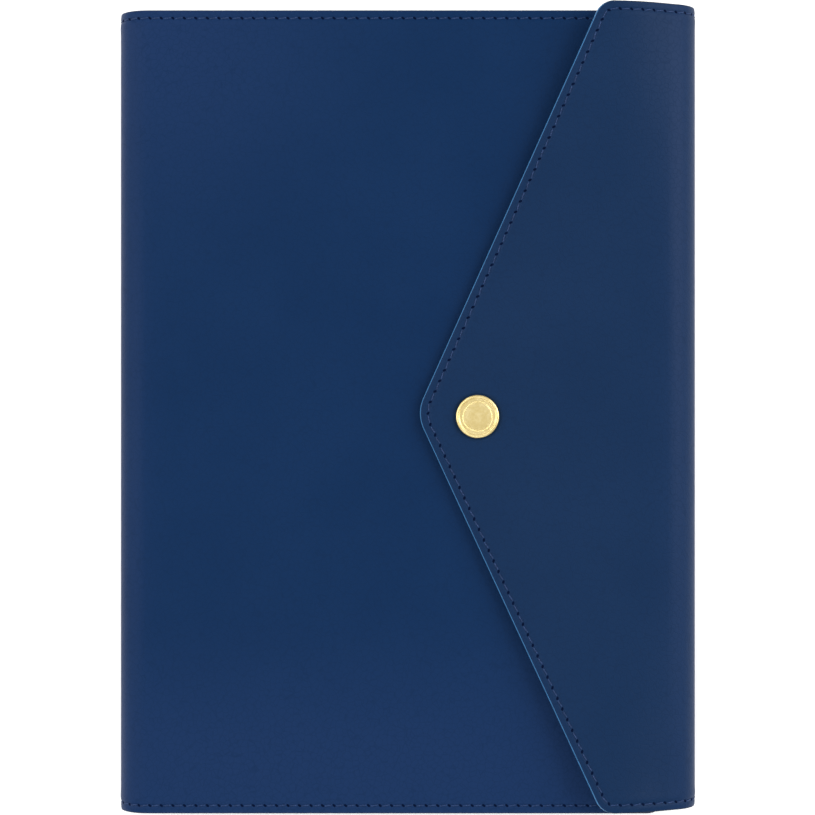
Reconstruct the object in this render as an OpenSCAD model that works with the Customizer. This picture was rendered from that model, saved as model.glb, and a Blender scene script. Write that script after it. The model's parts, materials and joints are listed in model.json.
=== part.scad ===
// Book-type tablet case in leather, with a keyboard inside the back panel, a tablet pocket in the
// front cover and an envelope flap that snaps shut over the cover.
// X runs across the case from the spine (-X) to the flap's fold (+X), Y runs along the spine and
// +Z points out of the front cover. The origin is the middle of the underside. Millimetres.

/* [Tablet] */
// Length of the tablet that the case holds
tablet_length = 240; // [180:0.5:280]
// Width of the tablet
tablet_width = 166.5; // [130:0.5:205]
// Thickness of the tablet
tablet_thickness = 7.5; // [5:0.1:11]

/* [Leather case] */
// Thickness of the outer leather
leather_t = 1.2; // [0.8:0.1:1.6]
// Thickness of the stiff boards inside the two panels
board_t = 1.4; // [0.8:0.1:2.4]
// Thickness of the lining
lining_t = 0.6; // [0.3:0.1:1]
// Thickness of the flexible stay in the spine, the gusset and the flap
stay_t = 0.6; // [0.3:0.1:1]
// Outer radius of the spine and of the gusset's lower fold
spine_r = 10; // [7:0.1:11]
// Outer radius of the fold between the gusset and the flap
flap_fold_r = 10.9; // [7:0.1:12]
// Leather past the tablet's rim at each end of the panels
end_margin = 7.55; // [5:0.05:12]
// How far the flap side lies askew of the spine side, along the spine
skew = 1.6; // [0:0.1:3]
// Radius of the front cover's two free corners
cover_corner_r = 7; // [1:0.5:12]

/* [Flap and snap] */
// Reach of the flap from its fold to the point
flap_reach = 79.6; // [50:0.1:100]
// Straight end of the flap between its fold and its corners
flap_shoulder = 20.7; // [14:0.1:40]
// How far the flap's point lies below its middle
flap_point_drop = 2.1; // [0:0.1:10]
// Radius of the flap's point
flap_point_r = 12; // [4:0.5:16]
// Radius of the flap's two corners
flap_corner_r = 6.5; // [1:0.5:9]
// Distance from the flap's point to the middle of the snap
snap_inset = 19.6; // [16:0.1:30]
// Diameter of the snap's cap
cap_d = 13.5; // [12:0.1:16]
// Height of the snap's cap above the flap
cap_h = 1.4; // [1.2:0.1:2.5]

/* [Keyboard] */
// Gap between two key caps
key_gap = 2.4; // [1.6:0.1:3.5]
// Height of the key caps above the deck
key_proud = 0.8; // [0.4:0.1:2]
// Travel of a key
key_travel = 1.3; // [0.8:0.1:1.5]
// Height left in a dome under a pressed key
dome_rest = 0.7; // [0.5:0.1:3.5]
// Depth of the palm rest
palm_rest = 38; // [34:0.5:48]
// Width of the deck strip behind the tablet slot
rear_strip = 14.25; // [14:0.25:20]
// Diameter of the pairing button
pair_button_d = 5; // [4:0.1:6]

/* [Hidden] */
// Clearances and thin parts
tablet_fit = 0.35;
rim_wall = 1.2;
bezel_t = 1.2;
bezel_border_x = 9.9;
bezel_border_y = 21.85;
lid_gap = 0.4;
flap_gap = 0.4;
pad_t = 0.4;
seam = 0.3;
edge_lap = 0.3;
flap_lap = 1.4;
spine_overhang = 1.5;
board_inset_x = 1;
board_inset_y = 3.6;
lining_inset_y = 2;
stay_inset = 4;
arc_steps = 6;
case_floor = 0.8;
plate_t = 0.4;
membrane_t = 0.3;
dome_base_t = 0.3;
lip_t = 1;
deck_t = 1.2;

// Flat sizes of the panels
pocket_width = tablet_width + 2 * tablet_fit;
pocket_length = tablet_length + 2 * tablet_fit;
pocket_depth = tablet_thickness + 0.3;
panel_half = (pocket_width + rim_wall - edge_lap - spine_overhang) / 2;
panel_length = pocket_length + 2 * rim_wall + 2 * end_margin;
half_length = panel_length / 2;
left_y = [-half_length - skew / 2, half_length - skew / 2];
right_y = [-half_length + skew / 2, half_length + skew / 2];
cover_edge = panel_half + edge_lap;
leather_edge = cover_edge + 0.2;
pocket_right = cover_edge - rim_wall;
pocket_left = pocket_right - pocket_width;

// Heights of the stacked layers
back_board_z = leather_t;
back_lining_z = back_board_z + board_t;
pads_z = back_lining_z + lining_t;
keyboard_z = pads_z + pad_t;
floor_z = keyboard_z + case_floor;
membrane_z = floor_z + plate_t;
dome_z = membrane_z + membrane_t;
lip_z = dome_z + dome_base_t + dome_rest + key_travel;
deck_under = lip_z + lip_t;
deck_z = deck_under + deck_t;
bezel_z = deck_z + key_proud + lid_gap;
rim_z = bezel_z + bezel_t;
front_lining_z = rim_z + pocket_depth;
front_board_z = front_lining_z + lining_t;
front_leather_z = front_board_z + board_t;
cover_top = front_leather_z + leather_t;
flap_lining_z = cover_top + flap_gap;
flap_stay_z = flap_lining_z + lining_t;
flap_leather_z = flap_stay_z + stay_t;
flap_top = flap_leather_z + leather_t;

// Folds: centres of the four arcs, and the seam at the middle of each
fold_r = min(spine_r, (cover_top - 1) / 2);
flap_r = min(flap_fold_r, flap_top - fold_r - 1);
seam_a = asin(seam / 2 / fold_r);
spine_low = [-panel_half, fold_r];
spine_high = [-panel_half, cover_top - fold_r];
gusset_high = [leather_edge - flap_lap, flap_top - flap_r];
gusset_low = [gusset_high.x + flap_r - fold_r, fold_r];

// Flap outline and snap place
flap_root = gusset_high.x;
flap_point = [flap_root - flap_reach, skew / 2 - flap_point_drop];
flap_corner_top = [flap_root - flap_shoulder, right_y[1]];
flap_corner_low = [flap_root - flap_shoulder, right_y[0]];
snap_at = [flap_point.x + snap_inset, flap_point.y - 1];

// Snap fastener
rivet_r = 1.3;
rivet_head_r = 4;
rivet_head_t = 0.5;
stud_flange_r = 5;
stud_flange_t = 0.3;
stud_neck_r = 2;
stud_head_r = 2.15;
socket_r = 5;
socket_bore_r = 2.5;
barrel_r = 3.1;
barrel_top = flap_top + cap_h - 0.8;
spring_wire_r = 0.25;
snap_clear = 0.15;

// Keyboard case
case_x = panel_half - 2.8;
case_y = half_length - 6.1;
case_wall = 1.5;
case_corner_r = 5;
lip_reach = 0.9;
key_clear = 0.4;

// Key field: units run along Y and rows run along X, away from the slot
side_margin = 5.55;
key_unit = 2 * (case_y - side_margin) / 14.5;
slot_width = tablet_thickness + 1;
slot_length = 2 * case_y - 46;
liner_t = 0.8;
slot_x = -case_x + rear_strip + slot_width / 2;
liner_x = [slot_x - slot_width / 2 - liner_t, slot_x + slot_width / 2 + liner_t];
field_x = [slot_x + slot_width / 2 + 7.4, case_x - palm_rest];
function_depth = 12.5;
row_depth = (field_x[1] - field_x[0] - function_depth) / 5;
function_u = 14.5 / 13;
// Widths of the keys in each row, in key units
rows = [
    [for (i = [1:13]) function_u],
    [for (i = [1:14]) i < 14 ? 1 : 1.5],
    [for (i = [1:14]) i > 1 ? 1 : 1.5],
    [for (i = [1:13]) i > 1 && i < 13 ? 1 : 1.75],
    [for (i = [1:12]) i > 1 && i < 12 ? 1 : 2.25],
    [1, 1, 1, 1.25, 5, 1.25, 1, 1, 1, 1]
];
bottom_row = 5;
up_down = 8;

// Screws and small parts of the keyboard
screw_r = 0.8;
screw_head_r = 1.5;
screw_head_t = 0.6;
boss_r = 2.6;
boss_h = 2;
post_r = 2;
screw_inset = 4.5;
screws_at = [for (x = [-1, 1], y = [-1, 0, 1]) [x * (case_x - screw_inset), y * (case_y - screw_inset)]];
board_stand = 0.6;
pcb_t = 0.8;
pcb_z = floor_z + board_stand;
pcb_top = pcb_z + pcb_t;
palm_x = [field_x[1] + 4, case_x - 8.5];
battery_t = 3.2;
battery_y = [-case_y + 35, 22];
pcb_y = [battery_y[1] + 6, case_y - case_wall - 0.4];
socket_w = 7.6;
socket_h = deck_under - pcb_top;
socket_l = 5.6;
socket_x = palm_x[1] - 8;
magnet = [3, 12, 3];
control_x = -case_x + 7;
switch_y = case_y - 27;
switch_knob = [3.4, 4.6];
switch_travel = 3;
button_y = switch_y - 16;
button_travel = 0.5;
lens_y = button_y - 10;
lens_r = 1.2;
bumper_r = 3;
bumper_h = 0.9;

// ---- Outlines -------------------------------------------------------------------------------

function unit(v) = v / norm(v);

// Points on an arc about centre c, from angle a0 to a1
function arc(c, r, a0, a1) =
    [for (i = [0:arc_steps]) let (a = a0 + (a1 - a0) * i / arc_steps) c + r * [cos(a), sin(a)]];

// A curved strip of thickness t whose outer face has radius r
function strip(c, r, t, a0, a1) = concat(arc(c, r, a0, a1), arc(c, r - t, a1, a0));

// The corner b of the path a-b-c, moved inwards by d and rounded with radius r
function corner(a, b, c, d, r) =
    let (u = unit(a - b), v = unit(c - b), half = acos(u * v) / 2, inward = unit(u + v),
        m = b + inward * (d + r) / sin(half),
        turn = 90 - half, mid = atan2(-inward.y, -inward.x),
        side = cross(u, v) > 0 ? 1 : -1)
    arc(m, r, mid + side * turn, mid - side * turn);

// A rectangle centred on the origin with rounded corners
function round_rect(half_x, half_y, r) =
    let (x = half_x - r, y = half_y - r)
    concat(arc([x, y], r, 0, 90), arc([-x, y], r, 90, 180),
        arc([-x, -y], r, 180, 270), arc([x, -y], r, 270, 360));

// The flap's outline, from its fold, with the free edges moved in by d
function flap_outline(d) = concat(
    [[flap_root, right_y[0] + d], [flap_root, right_y[1] - d]],
    corner([flap_root, right_y[1]], flap_corner_top, flap_point, d, flap_corner_r - min(d, 3)),
    corner(flap_corner_top, flap_point, flap_corner_low, d, flap_point_r),
    corner(flap_point, flap_corner_low, [flap_root, right_y[0]], d, flap_corner_r - min(d, 3)));

// An X-Z profile run along Y between two stations
module run(y, points) {
    translate([0, y[1], 0]) rotate([90, 0, 0]) linear_extrude(y[1] - y[0]) polygon(points);
}

// An X-Y outline stood from height z0 to z1
module plate(z0, z1, points) {
    translate([0, 0, z0]) linear_extrude(z1 - z0) polygon(points);
}

// A box from its low corner to its high corner
module box(a, b) {
    translate(a) cube(b - a);
}

// ---- Back panel -----------------------------------------------------------------------------

module back_leather() {
    color("#14233d") {
        run(left_y, strip(spine_low, fold_r, leather_t, 270, 225 + seam_a));
        plate(0, leather_t, [
            [-panel_half, left_y[0]], [gusset_low.x, right_y[0]],
            [gusset_low.x, right_y[1]], [-panel_half, left_y[1]]]);
        run(right_y, strip(gusset_low, fold_r, leather_t, 270, 315 - seam_a));
    }
}

module back_board() {
    x = panel_half - board_inset_x;
    y = half_length - board_inset_y;
    color("#8a7a63") box([-x, -y, back_board_z], [x, y, back_lining_z]);
}

// The lining wraps over both edges of the board and down into the folds
module back_lining() {
    x = panel_half - board_inset_x;
    r = fold_r - leather_t;
    y = half_length - lining_inset_y;
    color("#3b3f4a") run([-y, y], concat(
        arc(spine_low, r, 225 + seam_a, 270),
        [[-x, leather_t], [-x, back_lining_z], [x, back_lining_z], [x, leather_t]],
        arc(gusset_low, r, 270, 315 - seam_a),
        arc(gusset_low, r - lining_t, 315 - seam_a, 270),
        [[x + lining_t, leather_t + lining_t], [x + lining_t, pads_z],
            [-x - lining_t, pads_z], [-x - lining_t, leather_t + lining_t]],
        arc(spine_low, r - lining_t, 270, 225 + seam_a)));
}

module keyboard_fixing_pads() {
    color("#d8d4c8") for (x = [-0.6, 0.6], y = [-0.5, 0.5])
        translate([x * case_x - 10, y * case_y - 35, pads_z]) cube([20, 70, pad_t]);
}

// ---- Keyboard -------------------------------------------------------------------------------

module keyboard_bottom_case() {
    color("#22262f") difference() {
        union() {
            difference() {
                plate(keyboard_z, deck_under, round_rect(case_x, case_y, case_corner_r));
                plate(floor_z, deck_z, round_rect(case_x - case_wall, case_y - case_wall,
                    case_corner_r - case_wall));
            }
            for (p = screws_at)
                translate([p.x, p.y, keyboard_z]) cylinder(r = boss_r, h = boss_h, $fn = 32);
            for (x = palm_x, y = pcb_y)
                stand([min(max(x, palm_x[0] + 2), palm_x[1] - 2), min(max(y, pcb_y[0] + 2), pcb_y[1] - 2)]);
            for (y = [lens_y - 4, switch_y + 4]) stand([control_x, y]);
        }
        for (p = screws_at) translate([p.x, p.y, keyboard_z]) {
            translate([0, 0, -1]) cylinder(r = screw_head_r + snap_clear, h = screw_head_t + 1.1, $fn = 32);
            cylinder(r = screw_r + snap_clear, h = boss_h + 1, $fn = 32);
        }
        box([socket_x - socket_w / 2 - snap_clear, case_y - case_wall - 1, pcb_top],
            [socket_x + socket_w / 2 + snap_clear, case_y + 1, deck_z]);
    }
}

// A low stand-off for a circuit board
module stand(p) {
    translate([p.x - 1.5, p.y - 1.5, keyboard_z]) cube([3, 3, pcb_z - keyboard_z]);
}

module keyboard_top_frame() {
    color("#2a2f3a") difference() {
        union() {
            plate(deck_under, deck_z, round_rect(case_x, case_y, case_corner_r));
            for (p = screws_at) translate([p.x, p.y, keyboard_z + boss_h])
                cylinder(r = post_r, h = deck_under - keyboard_z - boss_h + deck_t / 2, $fn = 32);
        }
        for (r = [0:5]) for (i = [0:len(rows[r]) - 1]) if (r != bottom_row || i != up_down)
            key_block(r, i, key_clear, [deck_under - 1, deck_z + 1]);
        for (half = [-1, 1])
            key_block(bottom_row, up_down, key_clear, [deck_under - 1, deck_z + 1], half);
        box([liner_x[0], -slot_length / 2 - liner_t, deck_under - 1],
            [liner_x[1], slot_length / 2 + liner_t, deck_z + 1]);
        translate([control_x - switch_knob.x / 2 - key_clear,
            switch_y - switch_knob.y / 2 - key_clear, deck_under - 1])
            cube([switch_knob.x + 2 * key_clear, switch_knob.y + switch_travel + 2 * key_clear, 4]);
        translate([control_x, button_y, deck_under - 1])
            cylinder(r = pair_button_d / 2 + 0.3, h = deck_t + 2, $fn = 48);
        translate([control_x, lens_y, deck_under - 1]) cylinder(r = lens_r + 0.05, h = deck_t + 2, $fn = 32);
        for (p = screws_at) translate([p.x, p.y, keyboard_z + boss_h - 1])
            cylinder(r = screw_r, h = 4, $fn = 32);
    }
}

module key_support_plate() {
    color("#9aa0a8") box([field_x[0] - 1, -case_y + side_margin - 1, floor_z],
        [field_x[1] + 1, case_y - side_margin + 1, membrane_z]);
}

module membrane_sheet() {
    color("#c9d2c4") box([field_x[0], -case_y + side_margin, membrane_z],
        [field_x[1], case_y - side_margin, dome_z]);
}

module dome_sheet() {
    color("#e6e3da") {
        box([field_x[0], -case_y + side_margin, dome_z],
            [field_x[1], case_y - side_margin, dome_z + dome_base_t]);
        for (r = [0:5]) for (i = [0:len(rows[r]) - 1]) if (r != bottom_row || i != up_down)
            translate([row_x(r), key_y(r, i), 0]) dome();
        for (half = [-1, 1])
            translate([row_x(bottom_row) + half * row_depth / 4, key_y(bottom_row, up_down), 0]) dome();
    }
}

module dome() {
    base_r = min(2.6, row_depth / 5);
    translate([0, 0, dome_z]) cylinder(r1 = base_r, r2 = base_r / 2, h = lip_z - dome_z, $fn = 24);
}

module battery_pack() {
    color("#b9bcc2") box([palm_x[0], battery_y[0], floor_z],
        [palm_x[1], battery_y[1], floor_z + battery_t]);
}

module circuit_board() {
    color("#1f6b3a") {
        box([palm_x[0], pcb_y[0], pcb_z], [palm_x[1], pcb_y[1], pcb_top]);
        for (d = [8, 24]) box([palm_x[0] + 6, pcb_y[0] + d, pcb_top],
            [palm_x[0] + 15, pcb_y[0] + d + 9, pcb_top + 1]);
        box([palm_x[0] + 5, pcb_y[0] + 42, pcb_top], [palm_x[0] + 18, pcb_y[0] + 56, pcb_top + 1.4]);
    }
}

// Small board that carries the slide switch, the button switch and the light
module control_board() {
    color("#1f6b3a") {
        box([control_x - 2.6, lens_y - 6, pcb_z], [control_x + 2.6, switch_y + 7, pcb_top]);
        box([control_x - 2, switch_y - 2.6, pcb_top], [control_x + 2, switch_y + 5.6, lip_z + 0.1]);
        translate([control_x, button_y, pcb_top])
            cylinder(r = 1.6, h = lip_z - button_travel - pcb_top - 0.1, $fn = 32);
        box([control_x - 0.9, lens_y - 0.9, pcb_top], [control_x + 0.9, lens_y + 0.9, lip_z + 0.1]);
    }
}

module charge_socket() {
    shell = 0.4;
    y0 = case_y - 0.2 - socket_l;
    y1 = case_y - 0.2;
    color("#c9ccd0") {
        difference() {
            box([socket_x - socket_w / 2, y0, pcb_top], [socket_x + socket_w / 2, y1, pcb_top + socket_h]);
            box([socket_x - socket_w / 2 + shell, y0 + 1, pcb_top + shell],
                [socket_x + socket_w / 2 - shell, y1 + 1, pcb_top + socket_h - shell]);
        }
        box([socket_x - 2.2, y0 + 0.5, pcb_top + socket_h / 2 - 0.3],
            [socket_x + 2.2, y1 - 0.8, pcb_top + socket_h / 2 + 0.3]);
    }
}

module indicator_lens() {
    color("#dfe9f2") translate([control_x, lens_y, 0]) {
        translate([0, 0, lip_z + 0.1]) cylinder(r = lens_r + 0.6, h = deck_under - lip_z - 0.1, $fn = 32);
        translate([0, 0, deck_under]) cylinder(r = lens_r, h = deck_t + 0.1, $fn = 32);
    }
}

module case_screws() {
    shank_z = keyboard_z + screw_head_t + 0.1;
    color("#9aa0a8") for (p = screws_at) translate([p.x, p.y, 0]) {
        translate([0, 0, shank_z - screw_head_t]) cylinder(r = screw_head_r, h = screw_head_t, $fn = 32);
        translate([0, 0, shank_z]) cylinder(r = screw_r - 0.02, h = 3.6, $fn = 32);
    }
}

// Rubber channel that the tablet's edge stands in
module slot_liner() {
    inner_x = [liner_x[0] + liner_t, liner_x[1] - liner_t];
    color("#15171c") difference() {
        box([liner_x[0], -slot_length / 2 - liner_t, floor_z],
            [liner_x[1], slot_length / 2 + liner_t, deck_z]);
        box([inner_x[0], -slot_length / 2, floor_z + liner_t], [inner_x[1], slot_length / 2, deck_z + 1]);
    }
}

module slot_magnets() {
    color("#c0c4ca") for (y = [-3, -1, 1] * slot_length / 8)
        translate([liner_x[0] - magnet.x, y - magnet.y / 2, floor_z]) cube(magnet);
}

module deck_bumpers() {
    color("#15171c") for (x = [-case_x + 5, case_x - 5], y = [-case_y + 10, case_y - 10])
        translate([x, y, deck_z]) cylinder(r = bumper_r, h = bumper_h, $fn = 32);
}

module power_switch() {
    color("#3a3f4b") translate([control_x, switch_y, 0]) {
        box([-switch_knob.x / 2 - 0.6, -switch_knob.y / 2 - 0.8, lip_z + 0.1],
            [switch_knob.x / 2 + 0.6, switch_knob.y / 2 + 0.8, deck_under]);
        box([-switch_knob.x / 2, -switch_knob.y / 2, deck_under],
            [switch_knob.x / 2, switch_knob.y / 2, deck_z + key_proud - 0.2]);
    }
}

module pair_button() {
    color("#3a3f4b") translate([control_x, button_y, 0]) {
        translate([0, 0, lip_z]) cylinder(r = pair_button_d / 2 + 1, h = lip_t, $fn = 48);
        translate([0, 0, deck_under]) cylinder(r = pair_button_d / 2, h = deck_t + key_proud - 0.2, $fn = 48);
    }
}

// ---- Keys -----------------------------------------------------------------------------------

// Middle of row r, and the place and width of key i in it
function row_x(r) = r == 0
    ? field_x[0] + function_depth / 2
    : field_x[0] + function_depth + (r - 0.5) * row_depth;
function units_before(r, i) = i == 0 ? 0 : units_before(r, i - 1) + rows[r][i - 1];
function key_y(r, i) = -case_y + side_margin + (units_before(r, i) + rows[r][i] / 2) * key_unit;

// Key i of row r as a block between two heights, grown by d all round. half is -1 or 1 for one
// of two keys that share a place.
module key_block(r, i, d, z, half = 0) {
    depth = (r == 0 ? function_depth : row_depth) - key_gap;
    long = rows[r][i] * key_unit - key_gap;
    x = row_x(r);
    low = half > 0 ? x + key_gap / 2 : x - depth / 2;
    high = half < 0 ? x - key_gap / 2 : x + depth / 2;
    y = key_y(r, i);
    box([low - d, y - long / 2 - d, z[0]], [high + d, y + long / 2 + d, z[1]]);
}

// A key: its cap stands in the deck, and its lip holds it under the deck
module key(r, i, half = 0) {
    key_block(r, i, 0, [deck_under, deck_z + key_proud], half);
    key_block(r, i, lip_reach, [lip_z, deck_under], half);
}

module keys(r, first, last) {
    color("#353a46") for (i = [first:last]) key(r, i);
}

module function_row_keys() keys(0, 0, 12);
module number_row_keys() keys(1, 0, 12);
module backspace_key() keys(1, 13, 13);
module tab_key() keys(2, 0, 0);
module upper_row_keys() keys(2, 1, 13);
module caps_lock_key() keys(3, 0, 0);
module home_row_keys() keys(3, 1, 11);
module enter_key() keys(3, 12, 12);
module left_shift_key() keys(4, 0, 0);
module lower_row_keys() keys(4, 1, 10);
module right_shift_key() keys(4, 11, 11);
module left_modifier_keys() keys(5, 0, 3);
module space_bar() keys(5, 4, 4);
module right_modifier_keys() keys(5, 5, 6);
module left_arrow_key() keys(5, 7, 7);
module up_arrow_key() color("#353a46") key(bottom_row, up_down, -1);
module down_arrow_key() color("#353a46") key(bottom_row, up_down, 1);
module right_arrow_key() keys(5, 9, 9);

// ---- Spine and gusset -----------------------------------------------------------------------

// A layer that turns up round the spine, d inside its outer face
module spine_layer(d, t, inset) {
    run([left_y[0] + inset, left_y[1] - inset], concat(
        arc(spine_low, fold_r - d, 225 - seam_a, 180), arc(spine_high, fold_r - d, 180, 135 + seam_a),
        arc(spine_high, fold_r - d - t, 135 + seam_a, 180),
        arc(spine_low, fold_r - d - t, 180, 225 - seam_a)));
}

// A layer that turns up round the gusset, d inside its outer face
module gusset_layer(d, t, inset) {
    run([right_y[0] + inset, right_y[1] - inset], concat(
        arc(gusset_low, fold_r - d, 315 + seam_a, 360), arc(gusset_high, flap_r - d, 0, 45 - seam_a),
        arc(gusset_high, flap_r - d - t, 45 - seam_a, 0),
        arc(gusset_low, fold_r - d - t, 360, 315 + seam_a)));
}

module spine_leather() color("#1a345c") spine_layer(0, leather_t, 0);
module spine_stay() color("#8a7a63") spine_layer(leather_t, stay_t, stay_inset);
module spine_lining() color("#3b3f4a") spine_layer(leather_t + stay_t, lining_t, lining_inset_y);
module gusset_leather() color("#20355a") gusset_layer(0, leather_t, 0);
module gusset_stay() color("#8a7a63") gusset_layer(leather_t, stay_t, stay_inset);
module gusset_lining() color("#3b3f4a") gusset_layer(leather_t + stay_t, lining_t, lining_inset_y);

// ---- Front cover ----------------------------------------------------------------------------

module front_leather() {
    r = cover_corner_r;
    color("#1c3860") difference() {
        union() {
            run(left_y, strip(spine_high, fold_r, leather_t, 90, 135 - seam_a));
            plate(front_leather_z, cover_top, concat(
                [[-panel_half, left_y[1]], [-panel_half, left_y[0]]],
                arc([leather_edge - r, left_y[0] + r], r, 270, 360),
                arc([leather_edge - r, left_y[1] - r], r, 0, 90)));
        }
        translate([snap_at.x, snap_at.y, front_leather_z - 1])
            cylinder(r = rivet_r + snap_clear, h = leather_t + 2, $fn = 32);
    }
}

module front_board() {
    x = panel_half - board_inset_x;
    y = half_length - board_inset_y;
    r = max(cover_corner_r - 2, 0.5);
    color("#8a7a63") difference() {
        plate(front_board_z, front_leather_z, concat(
            [[-x, y], [-x, -y]],
            arc([cover_edge - 0.6 - r, -y + r], r, 270, 360), arc([cover_edge - 0.6 - r, y - r], r, 0, 90)));
        translate([snap_at.x, snap_at.y, front_board_z - 1])
            cylinder(r = rivet_head_r + 2 * snap_clear, h = board_t + 2, $fn = 32);
    }
}

// The lining covers the board's inner face and turns up over its edge into the spine
module front_lining() {
    x = panel_half - board_inset_x;
    r = fold_r - leather_t;
    y = half_length - lining_inset_y - skew / 2;
    color("#3b3f4a") intersection() {
        run([-y, y], concat(
            arc(spine_high, r, 135 - seam_a, 90),
            [[-x, front_leather_z], [-x, front_board_z], [cover_edge, front_board_z],
                [cover_edge, front_lining_z], [-x - lining_t, front_lining_z],
                [-x - lining_t, front_leather_z - lining_t]],
            arc(spine_high, r - lining_t, 90, 135 - seam_a)));
        plate(0, flap_top, concat(
            [[-panel_half - fold_r, y], [-panel_half - fold_r, -y]],
            arc([cover_edge - cover_corner_r, -y + cover_corner_r], cover_corner_r, 270, 360),
            arc([cover_edge - cover_corner_r, y - cover_corner_r], cover_corner_r, 0, 90)));
    }
}

// Three-sided wall of the tablet pocket, open towards the spine
module tablet_rim() {
    y = pocket_length / 2;
    color("#2c2f38") difference() {
        box([pocket_left + 3, -y - rim_wall, rim_z], [cover_edge, y + rim_wall, front_lining_z]);
        box([pocket_left, -y, rim_z - 1], [pocket_right, y, front_lining_z + 1]);
    }
}

// Frame that keeps the tablet in its pocket and leaves the screen clear
module tablet_bezel() {
    y = pocket_length / 2;
    color("#2c2f38") difference() {
        box([pocket_left + 3, -y - rim_wall, bezel_z], [cover_edge, y + rim_wall, rim_z]);
        box([pocket_left + bezel_border_x, -y + bezel_border_y, bezel_z - 1],
            [pocket_right - bezel_border_x, y - bezel_border_y, rim_z + 1]);
    }
}

// ---- Snap -----------------------------------------------------------------------------------

module at_snap() {
    translate([snap_at.x, snap_at.y, 0]) children();
}

module snap_rivet() {
    color("#d8c07a") at_snap() {
        translate([0, 0, front_leather_z - rivet_head_t])
            cylinder(r = rivet_head_r, h = rivet_head_t, $fn = 48);
        translate([0, 0, front_leather_z]) cylinder(r = rivet_r, h = leather_t + flap_gap + 1, $fn = 32);
    }
}

module snap_stud() {
    top = flap_lining_z + 1.8;
    color("#d8c07a") at_snap() rotate_extrude($fn = 64) polygon([
        [rivet_r, cover_top], [stud_flange_r, cover_top], [stud_flange_r, cover_top + stud_flange_t],
        [stud_neck_r, cover_top + stud_flange_t], [stud_neck_r, top - 0.6], [stud_head_r, top - 0.45],
        [stud_head_r, top - 0.2], [stud_neck_r - 0.2, top], [0, top],
        [0, cover_top + flap_gap + 1], [rivet_r, cover_top + flap_gap + 1]]);
}

module snap_socket() {
    low = flap_lining_z + 0.05;
    groove = low + 0.45;
    color("#c9b06a") at_snap() rotate_extrude($fn = 64) polygon([
        [socket_bore_r, low], [socket_r, low], [socket_r, flap_leather_z], [barrel_r, flap_leather_z],
        [barrel_r, barrel_top], [0, barrel_top], [0, barrel_top - 0.5], [socket_bore_r, barrel_top - 0.5],
        [socket_bore_r, groove + 2 * spring_wire_r + 0.1], [barrel_r, groove + 2 * spring_wire_r + 0.1],
        [barrel_r, groove], [socket_bore_r, groove]]);
}

module snap_spring() {
    color("#b8bcc4") at_snap() translate([0, 0, flap_lining_z + 0.5 + spring_wire_r])
        rotate([0, 0, 15]) rotate_extrude(angle = 330, $fn = 48)
            translate([stud_neck_r + 0.05 + spring_wire_r, 0]) circle(r = spring_wire_r, $fn = 16);
}

module snap_cap() {
    r = cap_d / 2;
    top = flap_top + cap_h;
    color("#e6ce8c") at_snap() rotate_extrude($fn = 96) polygon([
        [0, barrel_top], [barrel_r, barrel_top], [barrel_r, flap_top], [barrel_r + 0.5, flap_top],
        [barrel_r + 0.5, barrel_top - 0.1], [r - 0.7, barrel_top - 0.1], [r - 0.7, flap_top], [r, flap_top],
        [r, top - 0.5], [r - 0.35, top - 0.1], [r - 0.7, top], [r - 1.1, top - 0.05],
        [r - 1.4, top - 0.3], [r - 3, top - 0.2], [0, top - 0.1]]);
}

// ---- Flap -----------------------------------------------------------------------------------

// A layer of the flap: its half of the fold, and the flat part with its free edges d further in
module flap_layer(z, t, d, hole_r) {
    y = [right_y[0] + d, right_y[1] - d];
    difference() {
        union() {
            run(y, strip(gusset_high, flap_r - (flap_top - z - t), t, 45 + seam_a, 90));
            plate(z, z + t, flap_outline(d));
        }
        translate([snap_at.x, snap_at.y, z - 1]) cylinder(r = hole_r, h = t + 2, $fn = 48);
    }
}

module flap_leather() color("#223458") flap_layer(flap_leather_z, leather_t, 0, barrel_r + 0.1);
module flap_stay() color("#8a7a63") flap_layer(flap_stay_z, stay_t, stay_inset, socket_r + 0.2);
module flap_lining() color("#3b3f4a") flap_layer(flap_lining_z, lining_t, 0.3, socket_r + 0.2);

back_leather();
back_board();
back_lining();
keyboard_fixing_pads();
keyboard_bottom_case();
keyboard_top_frame();
key_support_plate();
membrane_sheet();
dome_sheet();
battery_pack();
circuit_board();
control_board();
charge_socket();
indicator_lens();
case_screws();
slot_liner();
slot_magnets();
deck_bumpers();
power_switch();
pair_button();
function_row_keys();
number_row_keys();
backspace_key();
tab_key();
upper_row_keys();
caps_lock_key();
home_row_keys();
enter_key();
left_shift_key();
lower_row_keys();
right_shift_key();
left_modifier_keys();
space_bar();
right_modifier_keys();
left_arrow_key();
up_arrow_key();
down_arrow_key();
right_arrow_key();
spine_leather();
spine_stay();
spine_lining();
front_leather();
front_board();
front_lining();
tablet_rim();
tablet_bezel();
snap_stud();
snap_rivet();
gusset_leather();
gusset_stay();
gusset_lining();
flap_leather();
flap_stay();
flap_lining();
snap_cap();
snap_socket();
snap_spring();
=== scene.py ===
# %% [markdown]
# # A leather tablet case with an envelope flap
# The case is one long sheet of navy leather, lined with dark microfibre. It wraps round from the
# front cover over the spine, under the back and up over the gusset, and ends in a pointed flap that
# snaps shut. Inside, a flat keyboard sits on the back panel, and the cover holds a pocket for the
# tablet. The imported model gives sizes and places, so each mesh here is built where the frame says.

# %% Load the frame
import math
import json

import bmesh
import bpy
import numpy as np
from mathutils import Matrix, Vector
from mathutils.geometry import delaunay_2d_cdt


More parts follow.
